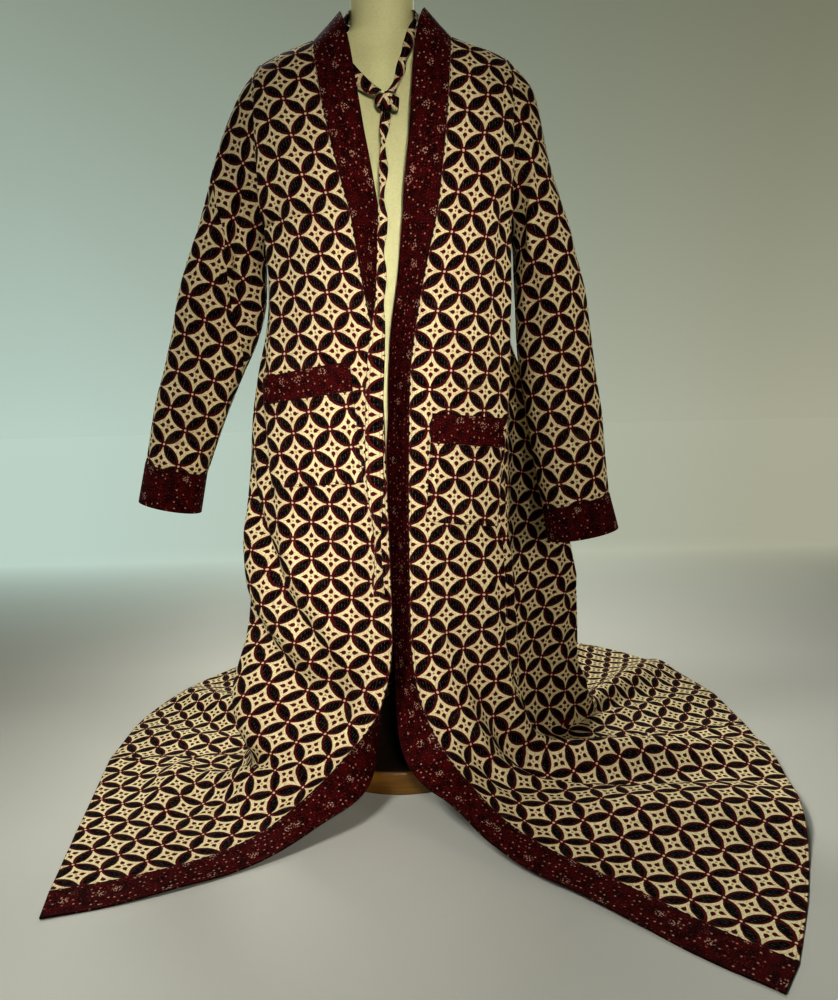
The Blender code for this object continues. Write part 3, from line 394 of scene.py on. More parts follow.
def back_angle(column):
    """Column 0 to 1 as an angle; the neck seam takes the middle columns."""
    neck = math.asin(NECK_X / TIP_X)
    total = 2 * SHOULDER_COLUMNS + NECK_COLUMNS
    ends = np.array((0, SHOULDER_COLUMNS, SHOULDER_COLUMNS + NECK_COLUMNS, total)) / total
    return np.interp(column, ends, (-math.pi / 2, -neck, neck, math.pi / 2))


def upper_back(column, level):
    angle = back_angle(column)
    across = np.sin(angle)
    high = np.clip(level, 0.0, 1.0)
    squareness = 0.7 + 2.4 * high * (1 - high)
    bulge = np.maximum(np.cos(angle), 0.0) ** squareness
    x = TIP_X * across
    top = NECK_Z - SHOULDER_SLOPE * np.maximum(np.abs(x) - NECK_X, 0.0) - NECK_DIP * neck_share(x)
    side_y = armhole("left", high, False)[..., 1]
    seam_y = NECK_BACK * neck_share(x) ** 0.7
    share = rounding(high, 0.5)
    y = side_y + (BACK_Y * share - side_y) * bulge + seam_y * (1 - share)
    chest = point(x, y, top + (UNDERARM_Z - top) * high)

    z = fall_height(np.maximum(level, 1.0))
    row = falling(SIDES, z)
    left_x, right_x, right_y, back_y, lobe = (row[..., k] for k in range(5))
    side_y = right_y * column
    x = (left_x + right_x) / 2 + (right_x - left_x) / 2 * across
    near_seam = np.minimum(1.0, (1 - column) * 12)
    x = x + lobe * np.exp(-((np.degrees(angle) - LOBE_AT) / LOBE_WIDTH) ** 2) * near_seam
    fall = point(x, side_y + (back_y - side_y) * bulge, z)
    return np.where((level <= 1.0)[..., None], chest, fall)


def hem(panel, column):
    if panel == "back":
        return spline(route(HEM_BACK), column)
    side = panel.split("_")[1]
    near = front_edge(side, np.float64(3.0))[:2]
    far = np.array(HEM_LEFT if side == "left" else HEM_RIGHT)
    spots = near + (far - near) * column[..., None]
    if side == "right":
        along = (far - near) / np.linalg.norm(far - near)
        square = np.array([along[1], -along[0]])
        spots = spots + square * HEM_RIGHT_BULGE * np.sin(math.pi * column)[..., None]
    return spots


def bare(panel, column, level):
    """Points of a panel's middle surface before the folds."""
    column, level = (np.array(a, float) for a in np.broadcast_arrays(column, level))

    def upper(lev):
        if panel == "back":
            return upper_back(column, lev)
        return upper_front(panel.split("_")[1], column, lev)

    start = upper(np.full_like(level, 2.0))
    out, left = bend_profile(np.clip(level - 2.0, 0.0, 1.0))
    floor = start[..., :2] + (hem(panel, column) - start[..., :2]) * out[..., None]
    lying = point(floor[..., 0], floor[..., 1], SPREAD_Z * left)
    if panel != "back":
        side = panel.split("_")[1]
        plain = front_edge(side, np.float64(2.0))[:2]
        plain = plain + (hem(panel, np.zeros_like(level)) - plain) * out[..., None]
        plain = point(plain[..., 0], plain[..., 1], SPREAD_Z * left)
        lying = lying + (front_edge(side, level) - plain) * ((1.0 - column) ** 2)[..., None]
    return np.where((level <= 2.0)[..., None], upper(np.minimum(level, 2.0)), lying)


def relief(piece, column, level):
    """Height of the ridges, troughs and small waves at each place."""
    spot = np.stack([column, level], axis=-1)
    total = np.zeros_like(column)
    for row in RIDGES[piece] + CREASES[piece]:
        start, run = np.array(row[0:2]), np.array(row[2:4]) - np.array(row[0:2])
        share = np.clip(((spot - start) @ run) / (run @ run), 0.0, 1.0)
        away = (spot - start - share[..., None] * run) / row[4]
        ends = np.sin(math.pi * (0.1 + 0.8 * share)) ** 0.5
        total += row[5] * np.exp(-np.sum(away * away, axis=-1)) * ends
    return total


def small_waves(grid, seed):
    """Irregular low waves, from the points' own places."""
    total = np.zeros(grid.shape[:2])
    for k, (across, along, turn, height) in enumerate(WAVES):
        x = grid[..., 0] * math.cos(turn) + grid[..., 1] * math.sin(turn)
        phase = seed * 1.7 + k * 2.1
        bend = np.sin(grid[..., 2] * 9.0 + phase) * 0.8
        total += height * np.sin(2 * math.pi * x / across + bend) * np.sin(
            2 * math.pi * (grid[..., 2] + grid[..., 1] * 0.7) / along + phase)
    return total


def grid_normals(grid):
    return unit(np.cross(np.gradient(grid, axis=1), np.gradient(grid, axis=0)))


def surface(panel, column, level):
    """Points of a panel with its folds, for any grid of columns and levels."""
    step = NORMAL_STEP
    before, after = np.clip(column - step, 0, 1), np.clip(column + step, 0, 1)
    across = bare(panel, after, level) - bare(panel, before, level)
    over, under = np.clip(level - step, 0, 3), np.clip(level + step, 0, 3)
    down = bare(panel, column, under) - bare(panel, column, over)
    normals = OUTWARD[panel] * unit(np.cross(across, down))
    spots = bare(panel, column, level)
    height = relief(panel, column, level) + small_waves(spots, len(panel))
    return spots + normals * (height * ease(column, 6))[..., None]


def levels():
    torso = (1 - np.cos(math.pi * np.arange(TORSO_ROWS + 1) / TORSO_ROWS)) / 2
    fall = 1 + np.arange(1, FALL_ROWS + 1) / FALL_ROWS
    spread = 2 + np.arange(1, SPREAD_ROWS + 1) / SPREAD_ROWS
    return np.concatenate([torso, fall, spread])


def panel_grid(panel):
    column, level = np.meshgrid(np.linspace(0, 1, PANEL_COLUMNS[panel] + 1), levels())
    grid = surface(panel, column, level)
    normals = grid_normals(grid) * OUTWARD[panel]
    lying = np.clip(1.0 - grid[..., 2] / LYING_BELOW, 0.0, 1.0)
    normals[..., 2] += LYING_TURN * lying
    return grid, unit(normals)


def away_from_edge(edge, beside):
    along = unit(np.gradient(edge, axis=0))
    toward = beside - edge
    return unit(toward - along * np.sum(toward * along, axis=1, keepdims=True))


def draw_in(grid, row_start=0.0, row_end=0.0, column_start=0.0, column_end=0.0):
    """Move the outer rows and columns of a grid inward by small lengths."""
    made = grid.copy()
    made[0] += away_from_edge(grid[0], grid[1]) * row_start
    made[-1] += away_from_edge(grid[-1], grid[-2]) * row_end
    made[:, 0] += away_from_edge(grid[:, 0], grid[:, 1]) * column_start
    made[:, -1] += away_from_edge(grid[:, -1], grid[:, -2]) * column_end
    return made


def tube(sections, along, ring):
    """Rings between an outer and an inner outline; ring angle 0 is the outer side."""
    rows = spline(route(sections), along)[:, None, :]
    c, s = np.cos(ring)[None, :], np.sin(ring)[None, :]
    x = (rows[..., 0] + rows[..., 2]) / 2 + (rows[..., 0] - rows[..., 2]) / 2 * c
    z = (rows[..., 1] + rows[..., 3]) / 2 + (rows[..., 1] - rows[..., 3]) / 2 * c
    return point(x, rows[..., 5] - rows[..., 4] * s, z)


def tube_normals(grid):
    """Outward normals of a closed tube whose first and last columns coincide."""
    wrapped = np.concatenate([grid[:, -2:-1], grid, grid[:, 1:2]], axis=1)
    normals = unit(np.cross(np.gradient(wrapped, axis=1), np.gradient(wrapped, axis=0)))[:, 1:-1]
    away = grid - grid.mean(axis=1, keepdims=True)
    return normals * np.sign(np.sum(normals * away, axis=2))[:, :, None]


# ---------------------------------------------------------------- flat patterns

FLAT_STEP = 6           # the flat pattern is solved on every sixth row and column
FLAT_ROUNDS, FLAT_PUSH, SLANT_STIFF = 900, 1.6, 0.35


def flatten(grid, pinned):
    """Lay a grid of cloth out flat, keeping its lengths; one column stays straight.

    The links along rows, columns and both diagonals act as springs.
    """
    rows, columns = grid.shape[:2]
    take_r = np.linspace(0, rows - 1, max(rows // FLAT_STEP, 4)).round().astype(int)
    take_c = np.linspace(0, columns - 1, max(columns // FLAT_STEP, 4)).round().astype(int)
    middle = int(np.argmin(np.abs(take_c - pinned * (columns - 1))))

    def lengths(axis, take, other):
        step = np.linalg.norm(np.diff(grid, axis=axis), axis=2)
        start = np.zeros_like(step.take([0], axis))
        gone = np.concatenate([start, np.cumsum(step, axis=axis)], axis=axis)
        return np.diff(gone.take(take, axis).take(other, 1 - axis), axis=axis)

    right, down = lengths(1, take_c, take_r), lengths(0, take_r, take_c)
    small = grid[take_r][:, take_c]
    slant_a = np.linalg.norm(small[1:, 1:] - small[:-1, :-1], axis=2)
    slant_b = np.linalg.norm(small[1:, :-1] - small[:-1, 1:], axis=2)
    stretch = np.sqrt(right[:-1] ** 2 + down[:, :-1] ** 2) / np.sqrt(
        np.linalg.norm(small[:-1, 1:] - small[:-1, :-1], axis=2) ** 2
        + np.linalg.norm(small[1:, :-1] - small[:-1, :-1], axis=2) ** 2)
    flat = np.zeros(small.shape[:2] + (2,))
    across = np.concatenate([np.zeros((len(take_r), 1)), np.cumsum(right, axis=1)], axis=1)
    flat[..., 0] = across - across[:, middle:middle + 1]
    gone = np.concatenate([[0.0], np.cumsum(down[:, middle])])
    flat[..., 1] = gone[:, None]
    links = (
        (np.s_[:, 1:], np.s_[:, :-1], right, 1.0), (np.s_[1:, :], np.s_[:-1, :], down, 1.0),
        (np.s_[1:, 1:], np.s_[:-1, :-1], slant_a * stretch, SLANT_STIFF),
        (np.s_[1:, :-1], np.s_[:-1, 1:], slant_b * stretch, SLANT_STIFF),
    )
    for _ in range(FLAT_ROUNDS):
        push = np.zeros_like(flat)
        weight = np.zeros(flat.shape[:2])
        for a, b, rest, stiff in links:
            gap = flat[a] - flat[b]
            now = np.linalg.norm(gap, axis=2)
            fix = gap * ((rest - now) / np.maximum(now, 1e-6) / 2 * stiff)[..., None]
            push[a] += fix
            push[b] -= fix
            weight[a] += stiff
            weight[b] += stiff
        push /= weight[..., None]
        push[:, middle] = 0.0
        flat += push * FLAT_PUSH
    for axis, take, count in ((0, take_r, rows), (1, take_c, columns)):
        step = np.linalg.norm(np.diff(grid, axis=axis), axis=2).mean(axis=1 - axis)
        gone = np.concatenate([[0.0], np.cumsum(step)])
        values = np.moveaxis(flat, axis, 0)
        table = np.column_stack([gone[take], values.reshape(len(take), -1)])
        made = spline(table, gone).reshape((count,) + values.shape[1:])
        flat = np.moveaxis(made, 0, axis)
    return flat


def ruled(grid):
    """Flat places of a strip or a small patch: lengths across and along its middle lines."""
    rows, columns = grid.shape[:2]
    across = np.linalg.norm(np.diff(grid, axis=1), axis=2).mean(axis=0)
    along = np.linalg.norm(np.diff(grid, axis=0), axis=2).mean(axis=1)
    u, v = np.concatenate([[0], np.cumsum(across)]), np.concatenate([[0], np.cumsum(along)])
    return np.stack(np.meshgrid(u, v), axis=-1)


# ---------------------------------------------------------------- materials

class Wire:
    """A value in a material's node tree; arithmetic on it adds Math nodes."""

    def __init__(self, tree, socket):
        self.tree, self.socket = tree, socket

    def math(self, operation, *others, clamp=False):
        node = self.tree.nodes.new("ShaderNodeMath")
        node.operation = operation
        node.use_clamp = clamp
        for slot, value in zip(node.inputs, (self, *others)):
            plug(self.tree, value, slot)
        return Wire(self.tree, node.outputs[0])

    def __add__(self, other):
        return self.math("ADD", other)

    def __sub__(self, other):
        return self.math("SUBTRACT", other)

    def __mul__(self, other):
        return self.math("MULTIPLY", other)

    def below(self, edge, soft):
        """1 under the edge and 0 over it, with a soft step."""
        return self.math("MULTIPLY_ADD", -1.0 / soft, edge / soft + 0.5, clamp=True)

    def ramp(self, start, end):
        """0 up to the start and 1 from the end on."""
        return self.math("MULTIPLY_ADD", 1 / (end - start), -start / (end - start), clamp=True)


def plug(tree, value, slot):
    if isinstance(value, Wire):
        tree.links.new(value.socket, slot)
    else:
        slot.default_value = value


def node(tree, kind, outlet, settings=None, **inputs):
    """A node with its settings and inputs, and one of its outlets as a Wire."""
    made = tree.nodes.new(kind)
    for name, value in (settings or {}).items():
        setattr(made, name, value)
    for name, value in inputs.items():
        plug(tree, value, made.inputs[name.replace("_", " ")])
    return Wire(tree, made.outputs[outlet])


def parts(tree, whole, kind="ShaderNodeSeparateXYZ"):
    """The three numbers of a vector, or of a colour."""
    made = tree.nodes.new(kind)
    plug(tree, whole, made.inputs[0])
    return [Wire(tree, outlet) for outlet in made.outputs]


def blend(tree, share, first, second):
    made = tree.nodes.new("ShaderNodeMix")
    made.data_type = "RGBA"
    plug(tree, share, made.inputs[0])
    for value, slot in ((first, made.inputs[6]), (second, made.inputs[7])):
        plug(tree, value if isinstance(value, Wire) else (*value, 1.0), slot)
    return Wire(tree, made.outputs[2])


def noise(tree, where, scale, detail=2.0, outlet="Fac"):
    return node(tree, "ShaderNodeTexNoise", outlet, Vector=where, Scale=scale, Detail=detail)


def new_material(name):
    made = bpy.data.materials.new(name)
    made.use_nodes = True
    return made, made.node_tree, made.node_tree.nodes["Principled BSDF"]


def flat_place(tree, layer):
    """The u and v of a UV layer, in metres of flat cloth."""
    where = node(tree, "ShaderNodeUVMap", 0, {"uv_map": layer})
    u, v, _ = parts(tree, where)
    return where, u, v


def woven_finish(tree, shader, where, u, v, colour, thread, depth):
    """Weave, slubs and stitching along the edges, with painted shade along each edge, for every
    cloth.
    """
    warp = (u * (2 * math.pi / thread)).math("SINE")
    weft = (v * (2 * math.pi / thread)).math("SINE")
    fibres, slubs = noise(tree, where, 900.0) * 0.5, noise(tree, where, 70.0, 3.0) * 0.8
    weave = (warp * weft) * 0.25 + fibres + slubs
    _, edge, run = flat_place(tree, "seam")
    from_line = (edge - STITCH_INSET).math("ABSOLUTE")
    dash = ((run * (1 / STITCH_STEP)).math("FRACT") - 0.5).math("ABSOLUTE").below(0.34, 0.08)
    stitch = from_line.below(0.0006, 0.0004) * dash
    # painted shade: the colour darkens within about a millimetre of each cut edge and seam
    colour = blend(tree, edge.below(0.0009, 0.0008) * 0.6, colour, EDGE_SHADE)
    plug(tree, blend(tree, stitch * 0.55, colour, STITCH_RED), shader.inputs["Base Color"])
    groove = from_line.below(0.0016, 0.002)
    height = weave - groove * 0.9 + stitch * 0.8
    bump = node(tree, "ShaderNodeBump", "Normal", Strength=0.55, Distance=depth, Height=height)
    plug(tree, bump, shader.inputs["Normal"])
    rough = noise(tree, where, 160.0) * 0.22 + 0.7
    plug(tree, rough, shader.inputs["Roughness"])
    shader.inputs["Specular IOR Level"].default_value = 0.05


def batik(name, turn, shift=(0.0, 0.0), upper_turn=None):
    """Cream cotton with a lattice of pointed petals, printed by hand.

    With an upper turn, the print on the upper front of a sleeve stands on that grain.
    """
    made, tree, shader = new_material(name)
    where, u, v = flat_place(tree, "flat")
    waver = noise(tree, where, 120.0, 1.0) * 0.0018
    u_hand, v_hand = u + waver, v + waver
    upper = (v - u * UPPER_SLOPE).below(UPPER_FROM, 0.0015)

    def straight(x, y, degrees):
        angle = math.radians(degrees)
        c, s = math.cos(angle) / NODE_STEP, math.sin(angle) / NODE_STEP
        along_a = ((x * c - y * s + shift[0]).math("FRACT") - 0.5).math("ABSOLUTE")
        along_b = ((x * s + y * c + shift[1]).math("FRACT") - 0.5).math("ABSOLUTE")
        return along_a, along_b

    def lattice(x, y):
        """Distances from the middle of a cell along its two sides, in steps."""
        if upper_turn is None:
            return straight(x, y, turn)
        pairs = zip(straight(x, y, turn), straight(x, y, upper_turn))
        return tuple(low + (high - low) * upper for low, high in pairs)

    def petal(a, b):
        gap, near = a.math("MAXIMUM", b) * -1.0 + 1.0, a.math("MINIMUM", b)
        return (gap * gap + near * near).math("SQRT")

    a, b = lattice(u_hand, v_hand)
    lens = petal(a, b)
    core = petal(*lattice(u_hand + CORE_SHIFT, v_hand + CORE_SHIFT * 0.6))
    to_node = ((a - 0.5) * (a - 0.5) + (b - 0.5) * (b - 0.5)).math("SQRT")
    to_middle = (a * a + b * b).math("SQRT")
    radial = (a + b) * math.sqrt(0.5)
    tangent = (a - b).math("ABSOLUTE") * math.sqrt(0.5)
    from_seed = radial - SEED_AT
    seed = (from_seed * from_seed + tangent * tangent).math("SQRT")
    tip = (tangent + from_seed * 0.54).math("MAXIMUM", radial * -1.0 + 0.252)
    bud = seed.math("MINIMUM", tip)

    streak = noise(tree, node(tree, "ShaderNodeCombineXYZ", 0, X=u * 700.0, Y=v * 40.0), 1.0)
    blotch, speck = noise(tree, where, 26.0, 3.0), noise(tree, where, 420.0)
    ground = blend(tree, streak.below(0.46, 0.12) * 0.45, CREAM, CREAM_STREAK)
    ground = blend(tree, blotch.below(0.5, 0.5) * 0.35, ground, CREAM_STAIN)
    ground = blend(tree, speck.below(0.44, 0.16) * 0.55, ground, CREAM_SPECK)
    hatch = ((u * (1 / HAIRLINE_STEP)).math("FRACT") - 0.5).math("ABSOLUTE").below(0.075, 0.08)
    worn = noise(tree, where, 200.0).below(0.47, 0.14)
    ink = blend(tree, hatch * worn * 0.8, BLACK, BLACK_WORN)
    madder = blend(tree, noise(tree, where, 90.0) * 0.7, MAROON, MAROON_DEEP)
    cracks = node(tree, "ShaderNodeTexVoronoi", "Distance", {"feature": "DISTANCE_TO_EDGE"},
                  Vector=where, Scale=34.0)
    colour = ground
    for share, over in (
            (lens.below(PETAL_EDGE, 0.013), madder), (core.below(CORE_EDGE, 0.012), ink),
            (bud.below(0.078, 0.014), madder), (to_middle.below(0.034, 0.016) * 0.8, CELL_HEART),
            (to_node.below(0.112, 0.018), madder), (to_node.below(0.044, 0.016), NODE_DOT),
            (cracks.below(0.01, 0.012) * 0.22, CRACK)):
        colour = blend(tree, share, colour, over)
    woven_finish(tree, shader, where, u, v, colour, 0.0011, 0.0005)
    return made


def maroon_cloth(name):
    """Dark red cotton with scattered pale dots and little rosettes of dots."""
    made, tree, shader = new_material(name)
    where, u, v = flat_place(tree, "flat")
    cloud, speck = noise(tree, where, 60.0, 3.0), noise(tree, where, 420.0)
    colour = blend(tree, cloud.below(0.5, 0.22), BAND_RED, BAND_DARK)
    colour = blend(tree, speck.below(0.42, 0.15) * 0.5, colour, BAND_SPECK)

    def dots(scale, radius, share, shift):
        """Round dots in a share of the cells of a loose mosaic, and a tint for each."""
        place = node(tree, "ShaderNodeMapping", 0, Vector=where, Location=(shift, shift * 2, 0.0))
        away = node(tree, "ShaderNodeTexVoronoi", "Distance", {"voronoi_dimensions": "2D"},
                    Vector=place, Scale=scale)
        cell = Wire(tree, away.socket.node.outputs["Color"])
        chance, tint, _ = parts(tree, cell, "ShaderNodeSeparateColor")
        return away.below(radius, 0.07) * chance.below(share, 0.02), tint

    scattered, tint = dots(105.0, 0.14, 0.5, 0.0)
    petals, _ = dots(290.0, 0.3, 0.95, 0.31)
    cluster, _ = dots(24.0, 0.145, 0.8, 0.77)
    small, _ = dots(210.0, 0.16, 0.3, 0.53)
    colour = blend(tree, small * 0.6, colour, DOT_SMALL)
    colour = blend(tree, scattered, colour, blend(tree, tint, DOT_PALE, DOT_RED))
    colour = blend(tree, petals * cluster, colour, DOT_PALE)
    woven_finish(tree, shader, where, u, v, colour, 0.001, 0.0004)
    return made


def form_cover(name):
    """Smooth cream cover of the form, with a fine knit."""
    made, tree, shader = new_material(name)
    where = node(tree, "ShaderNodeTexCoord", "Object")
    colour = blend(tree, noise(tree, where, 9.0, 3.0), COVER_DARK, COVER_PALE)
    speck = noise(tree, where, 300.0).below(0.45, 0.2)
    plug(tree, blend(tree, speck * 0.15, colour, COVER_SPECK), shader.inputs["Base Color"])
    knit = noise(tree, where, 1400.0) * 0.6 + noise(tree, where, 120.0) * 0.4
    plug(tree, node(tree, "ShaderNodeBump", "Normal", Strength=0.25, Distance=0.0003, Height=knit),
         shader.inputs["Normal"])
    plug(tree, noise(tree, where, 60.0) * 0.2 + 0.48, shader.inputs["Roughness"])
    shader.inputs["Specular IOR Level"].default_value = 0.3
    return made


def wood(name):
    """Varnished wood with stretched grain; the top of the base is darkened as painted shade."""
    made, tree, shader = new_material(name)
    where = node(tree, "ShaderNodeTexCoord", "Object")
    stretched = node(tree, "ShaderNodeMapping", 0, Vector=where, Scale=(3.0, 26.0, 60.0))
    grain = noise(tree, stretched, 3.0, 6.0)
    bands = node(tree, "ShaderNodeTexWave", "Fac", Vector=stretched, Scale=0.8, Distortion=5.0,
                 Detail=3.0)
    colour = blend(tree, bands, WOOD_DARK, WOOD_PALE)
    colour = blend(tree, grain.below(0.45, 0.2) * 0.6, colour, WOOD_GRAIN)
    height = parts(tree, where)[2]
    # painted shade: the top face of the base is darkened where the coat shades it
    shaded_top = height.ramp(BASE_HEIGHT - 0.0012, BASE_HEIGHT - 0.0012 + 1 / 1500.0)
    plug(tree, blend(tree, shaded_top * 0.94, colour, WOOD_TOP_SHADE), shader.inputs["Base Color"])
    plug(tree, node(tree, "ShaderNodeBump", "Normal", Strength=0.2, Distance=0.0004, Height=grain),
         shader.inputs["Normal"])
    plug(tree, grain * 0.25 + 0.28, shader.inputs["Roughness"])
    shader.inputs["Coat Weight"].default_value = 0.25
    shader.inputs["Coat Roughness"].default_value = 0.2
    return made


FRONT_CLOTH = batik("batik front", 45.0)
BACK_CLOTH = batik("batik back", 0.0)
LEFT_SLEEVE_CLOTH = batik("batik sleeve left", 45.0, (0.2, 0.1), 0.0)
RIGHT_SLEEVE_CLOTH = batik("batik sleeve right", 45.0, (0.3, 0.1))
POCKET_CLOTH = batik("batik pocket", 45.0, (0.15, 0.4))
BELT_CLOTH = batik("batik belt", 45.0, (0.1, 0.2))
MAROON_CLOTH = maroon_cloth("maroon cloth")
COVER = form_cover("form cover")
WOOD = wood("form wood")


# ---------------------------------------------------------------- pieces

def seam_map(flat):
    """Distance from the nearest edge, and a running length for the stitches."""
    gone_u = flat[..., 0] - flat[..., :1, 0]
    left_u = flat[..., -1:, 0] - flat[..., 0]
    gone_v = flat[..., 1] - flat[:1, :, 1]
    left_v = flat[-1:, :, 1] - flat[..., 1]
    across = np.minimum(np.abs(gone_u), np.abs(left_u))
    edge = np.minimum(across, np.minimum(np.abs(gone_v), np.abs(left_v)))
    return np.stack([edge, flat[..., 0] + flat[..., 1]], axis=-1)


def mesh_piece(name, points, faces, finish, replaces, layers=()):
    """A smooth mesh with UV layers, which rides on the root body."""
    mesh = bpy.data.meshes.new(name)
    mesh.from_pydata(points.tolist(), [], faces)
    mesh.update()
    corner = np.empty(len(mesh.loops), int)
    mesh.loops.foreach_get("vertex_index", corner)
    for layer, values in layers:
        mesh.uv_layers.new(name=layer).data.foreach_set("uv", values[corner].ravel())
    mesh.shade_smooth()
    mesh.set_sharp_from_angle(angle=math.radians(55))
    mesh.materials.append(finish)
    made = bpy.data.objects.new(name, mesh)
    bpy.context.scene.collection.objects.link(made)
    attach(made, "root")
    if replaces:
        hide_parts(*replaces)
    return made


def shell(name, grid, normals, thickness, flat, finish, replaces):
    """A thin closed shell round a grid of points, with the flat pattern as its UV layers."""
    rows, columns = grid.shape[:2]
    grid = grid.copy()
    grid[..., 2] = np.maximum(grid[..., 2], thickness / 2)
    points = np.concatenate([(grid + normals * thickness / 2).reshape(-1, 3),
                             (grid - normals * thickness / 2).reshape(-1, 3)])
    index = np.arange(rows * columns).reshape(rows, columns)
    a, b, c, d = index[:-1, :-1], index[:-1, 1:], index[1:, 1:], index[1:, :-1]
    outer = np.stack([a, b, c, d], axis=-1).reshape(-1, 4)
    deep = rows * columns
    border = np.concatenate([index[0, :], index[1:, -1], index[-1, -2::-1], index[-2:0:-1, 0]])
    after = np.roll(border, -1)
    rim = np.stack([after, border, border + deep, after + deep], axis=-1)
    faces = np.concatenate([outer, outer[:, ::-1] + deep, rim])
    mid = points[outer[0]]
    if np.dot(np.cross(mid[1] - mid[0], mid[3] - mid[0]), normals[0, 0]) < 0:
        faces = faces[:, ::-1]
    layers = [(layer, np.concatenate([values.reshape(-1, 2)] * 2))
              for layer, values in (("flat", flat), ("seam", seam_map(flat)))]
    made = mesh_piece(name, points, faces.tolist(), finish, replaces, layers)
    e, f = flat[1:, 1:] - flat[:-1, :-1], flat[1:, :-1] - flat[:-1, 1:]
    area = float(np.abs(e[..., 0] * f[..., 1] - e[..., 1] * f[..., 0]).sum() / 2)
    return made


def band_grid(side, grid, normals):
    """A front band: sewn to its panel's first column and turned by the table above."""
    toward = unit(grid[:, 0] - grid[:, 1])
    along = unit(np.gradient(grid[:, 0], axis=0))
    toward = unit(toward - along * np.sum(toward * along, axis=1, keepdims=True))
    face = normals[:, 0]
    turn = np.radians(spline(BAND_TURN, levels())[:, 0 if side == "left" else 1])[:, None]
    way = toward * np.cos(turn) - face * np.sin(turn)
    reach = np.linspace(0, BAND_WIDTH, BAND_STEPS + 1)
    places = grid[:, :1] + way[:, None, :] * reach[None, :, None]
    look = unit(face * np.cos(turn) + toward * np.sin(turn))
    look = np.repeat(look[:, None, :], BAND_STEPS + 1, axis=1)
    for _ in range(2):
        look[1:-1] = (look[:-2] + look[2:] + 2 * look[1:-1]) / 4
    return places, unit(look)


def build_panels():
    grids, normals = {}, {}
    for panel in ("front_left", "front_right", "back"):
        grids[panel], normals[panel] = panel_grid(panel)
    half = SEAM / 2

    def panel_piece(panel, pinned, finish):
        drawn = draw_in(grids[panel], row_start=half, column_start=half, column_end=half)
        shell(panel + "_cloth", drawn, normals[panel], CLOTH, flatten(grids[panel], pinned), finish,
              [panel])

    ring = np.linspace(-math.pi, math.pi, RING_COLUMNS + 1)
    along = np.linspace(0, 1, SLEEVE_ROWS + 1)
    column, level = np.meshgrid(ring / (2 * math.pi) + 0.5, along)
    for side, sleeve_cloth in (("left", LEFT_SLEEVE_CLOTH), ("right", RIGHT_SLEEVE_CLOTH)):
        sleeve, cuff, band, panel = (part + side
                                     for part in ("sleeve_", "cuff_", "band_", "front_"))
        plain = tube(SLEEVES[side], along, ring)
        height = relief(sleeve, column, level) + small_waves(plain, 3.0) * 1.6
        height = height * ease(level, 10) * ease(column, 12)
        grid = plain + tube_normals(plain) * height[..., None]
        drawn = draw_in(grid, row_start=ARMHOLE_GAP, row_end=half)
        shell(sleeve + "_cloth", drawn, tube_normals(grid), CLOTH, flatten(grid, 0.5), sleeve_cloth,
              [sleeve])

        grid = tube((SLEEVES[side][-1], CUFF_ENDS[side]), np.linspace(0, 1, 11), ring)
        shell(cuff + "_cloth", draw_in(grid, row_start=half), tube_normals(grid), BAND,
              ruled(grid), MAROON_CLOTH, [cuff])

        grid, look = band_grid(side, grids[panel], normals[panel])
        shell(band + "_cloth", draw_in(grid, row_start=half, column_start=half), look, BAND,
              ruled(grid), MAROON_CLOTH, [band])
        panel_piece(panel, 0.0, FRONT_CLOTH)
    panel_piece("back", 0.5, BACK_CLOTH)


def build_neck_band():
    """The band behind the neck, which stands up and leans toward the form's neck."""
    total = 2 * SHOULDER_COLUMNS + NECK_COLUMNS
    share = np.linspace(0, 1, 61)
    seam = bare("back", (SHOULDER_COLUMNS + NECK_COLUMNS * share) / total, 0.0)
    turn = math.radians(BAND_TURN[0][1])
    lean = np.array([NECK_X - TIP_X, 0.0, NECK_Z - TIP_Z])
    lean /= np.linalg.norm(lean)
    below = np.array([-lean[2], 0.0, -lean[0]])
    side_way = lean * math.cos(turn) - below * math.sin(turn)
    back = neck_share(seam[:, 0]) ** 0.5
    forward, lift = NECK_BAND_LEAN
    way = unit(point(side_way[0] * np.sign(seam[:, 0]) * (1 - back), forward * back,
                     abs(side_way[2]) + lift * back))
    reach = np.linspace(0, BAND_WIDTH, BAND_STEPS + 1)
    grid = seam[None, :, :] + way[None, :, :] * reach[:, None, None]
    normals = grid_normals(grid)
    normals *= np.sign(normals[4, 30, 1])
    drawn = draw_in(grid, row_start=SEAM, column_start=SEAM / 2, column_end=SEAM / 2)
    shell("band_neck_cloth", drawn, normals, BAND, ruled(grid)[..., ::-1], MAROON_CLOTH,
          ["band_neck"])


def pocket_grid(side, down, across):
    near_x, near_top, far_x, far_top, near_low, far_low, drift = POCKETS[side]
    across, down = np.meshgrid(across, down)
    top = near_top + (far_top - near_top) * across
    low = near_low + (far_low - near_low) * across
    x = near_x + (far_x - near_x) * across + drift * down
    level = 1.0 + (UNDERARM_Z - (top + (low - top) * down)) / (UNDERARM_Z - SPREAD_Z)
    near, far = front_edge(side, level), side_seam(side, level)
    share = np.clip((x - near[..., 0]) / (far[..., 0] - near[..., 0]), 0.0, 1.0)
    column = np.arcsin(share) * 2 / math.pi
    panel, step = "front_" + side, NORMAL_STEP
    normals = OUTWARD[panel] * unit(np.cross(
        surface(panel, column + step, level) - surface(panel, column - step, level),
        surface(panel, column, level + step) - surface(panel, column, level - step)))
    return surface(panel, column, level), normals, across, down


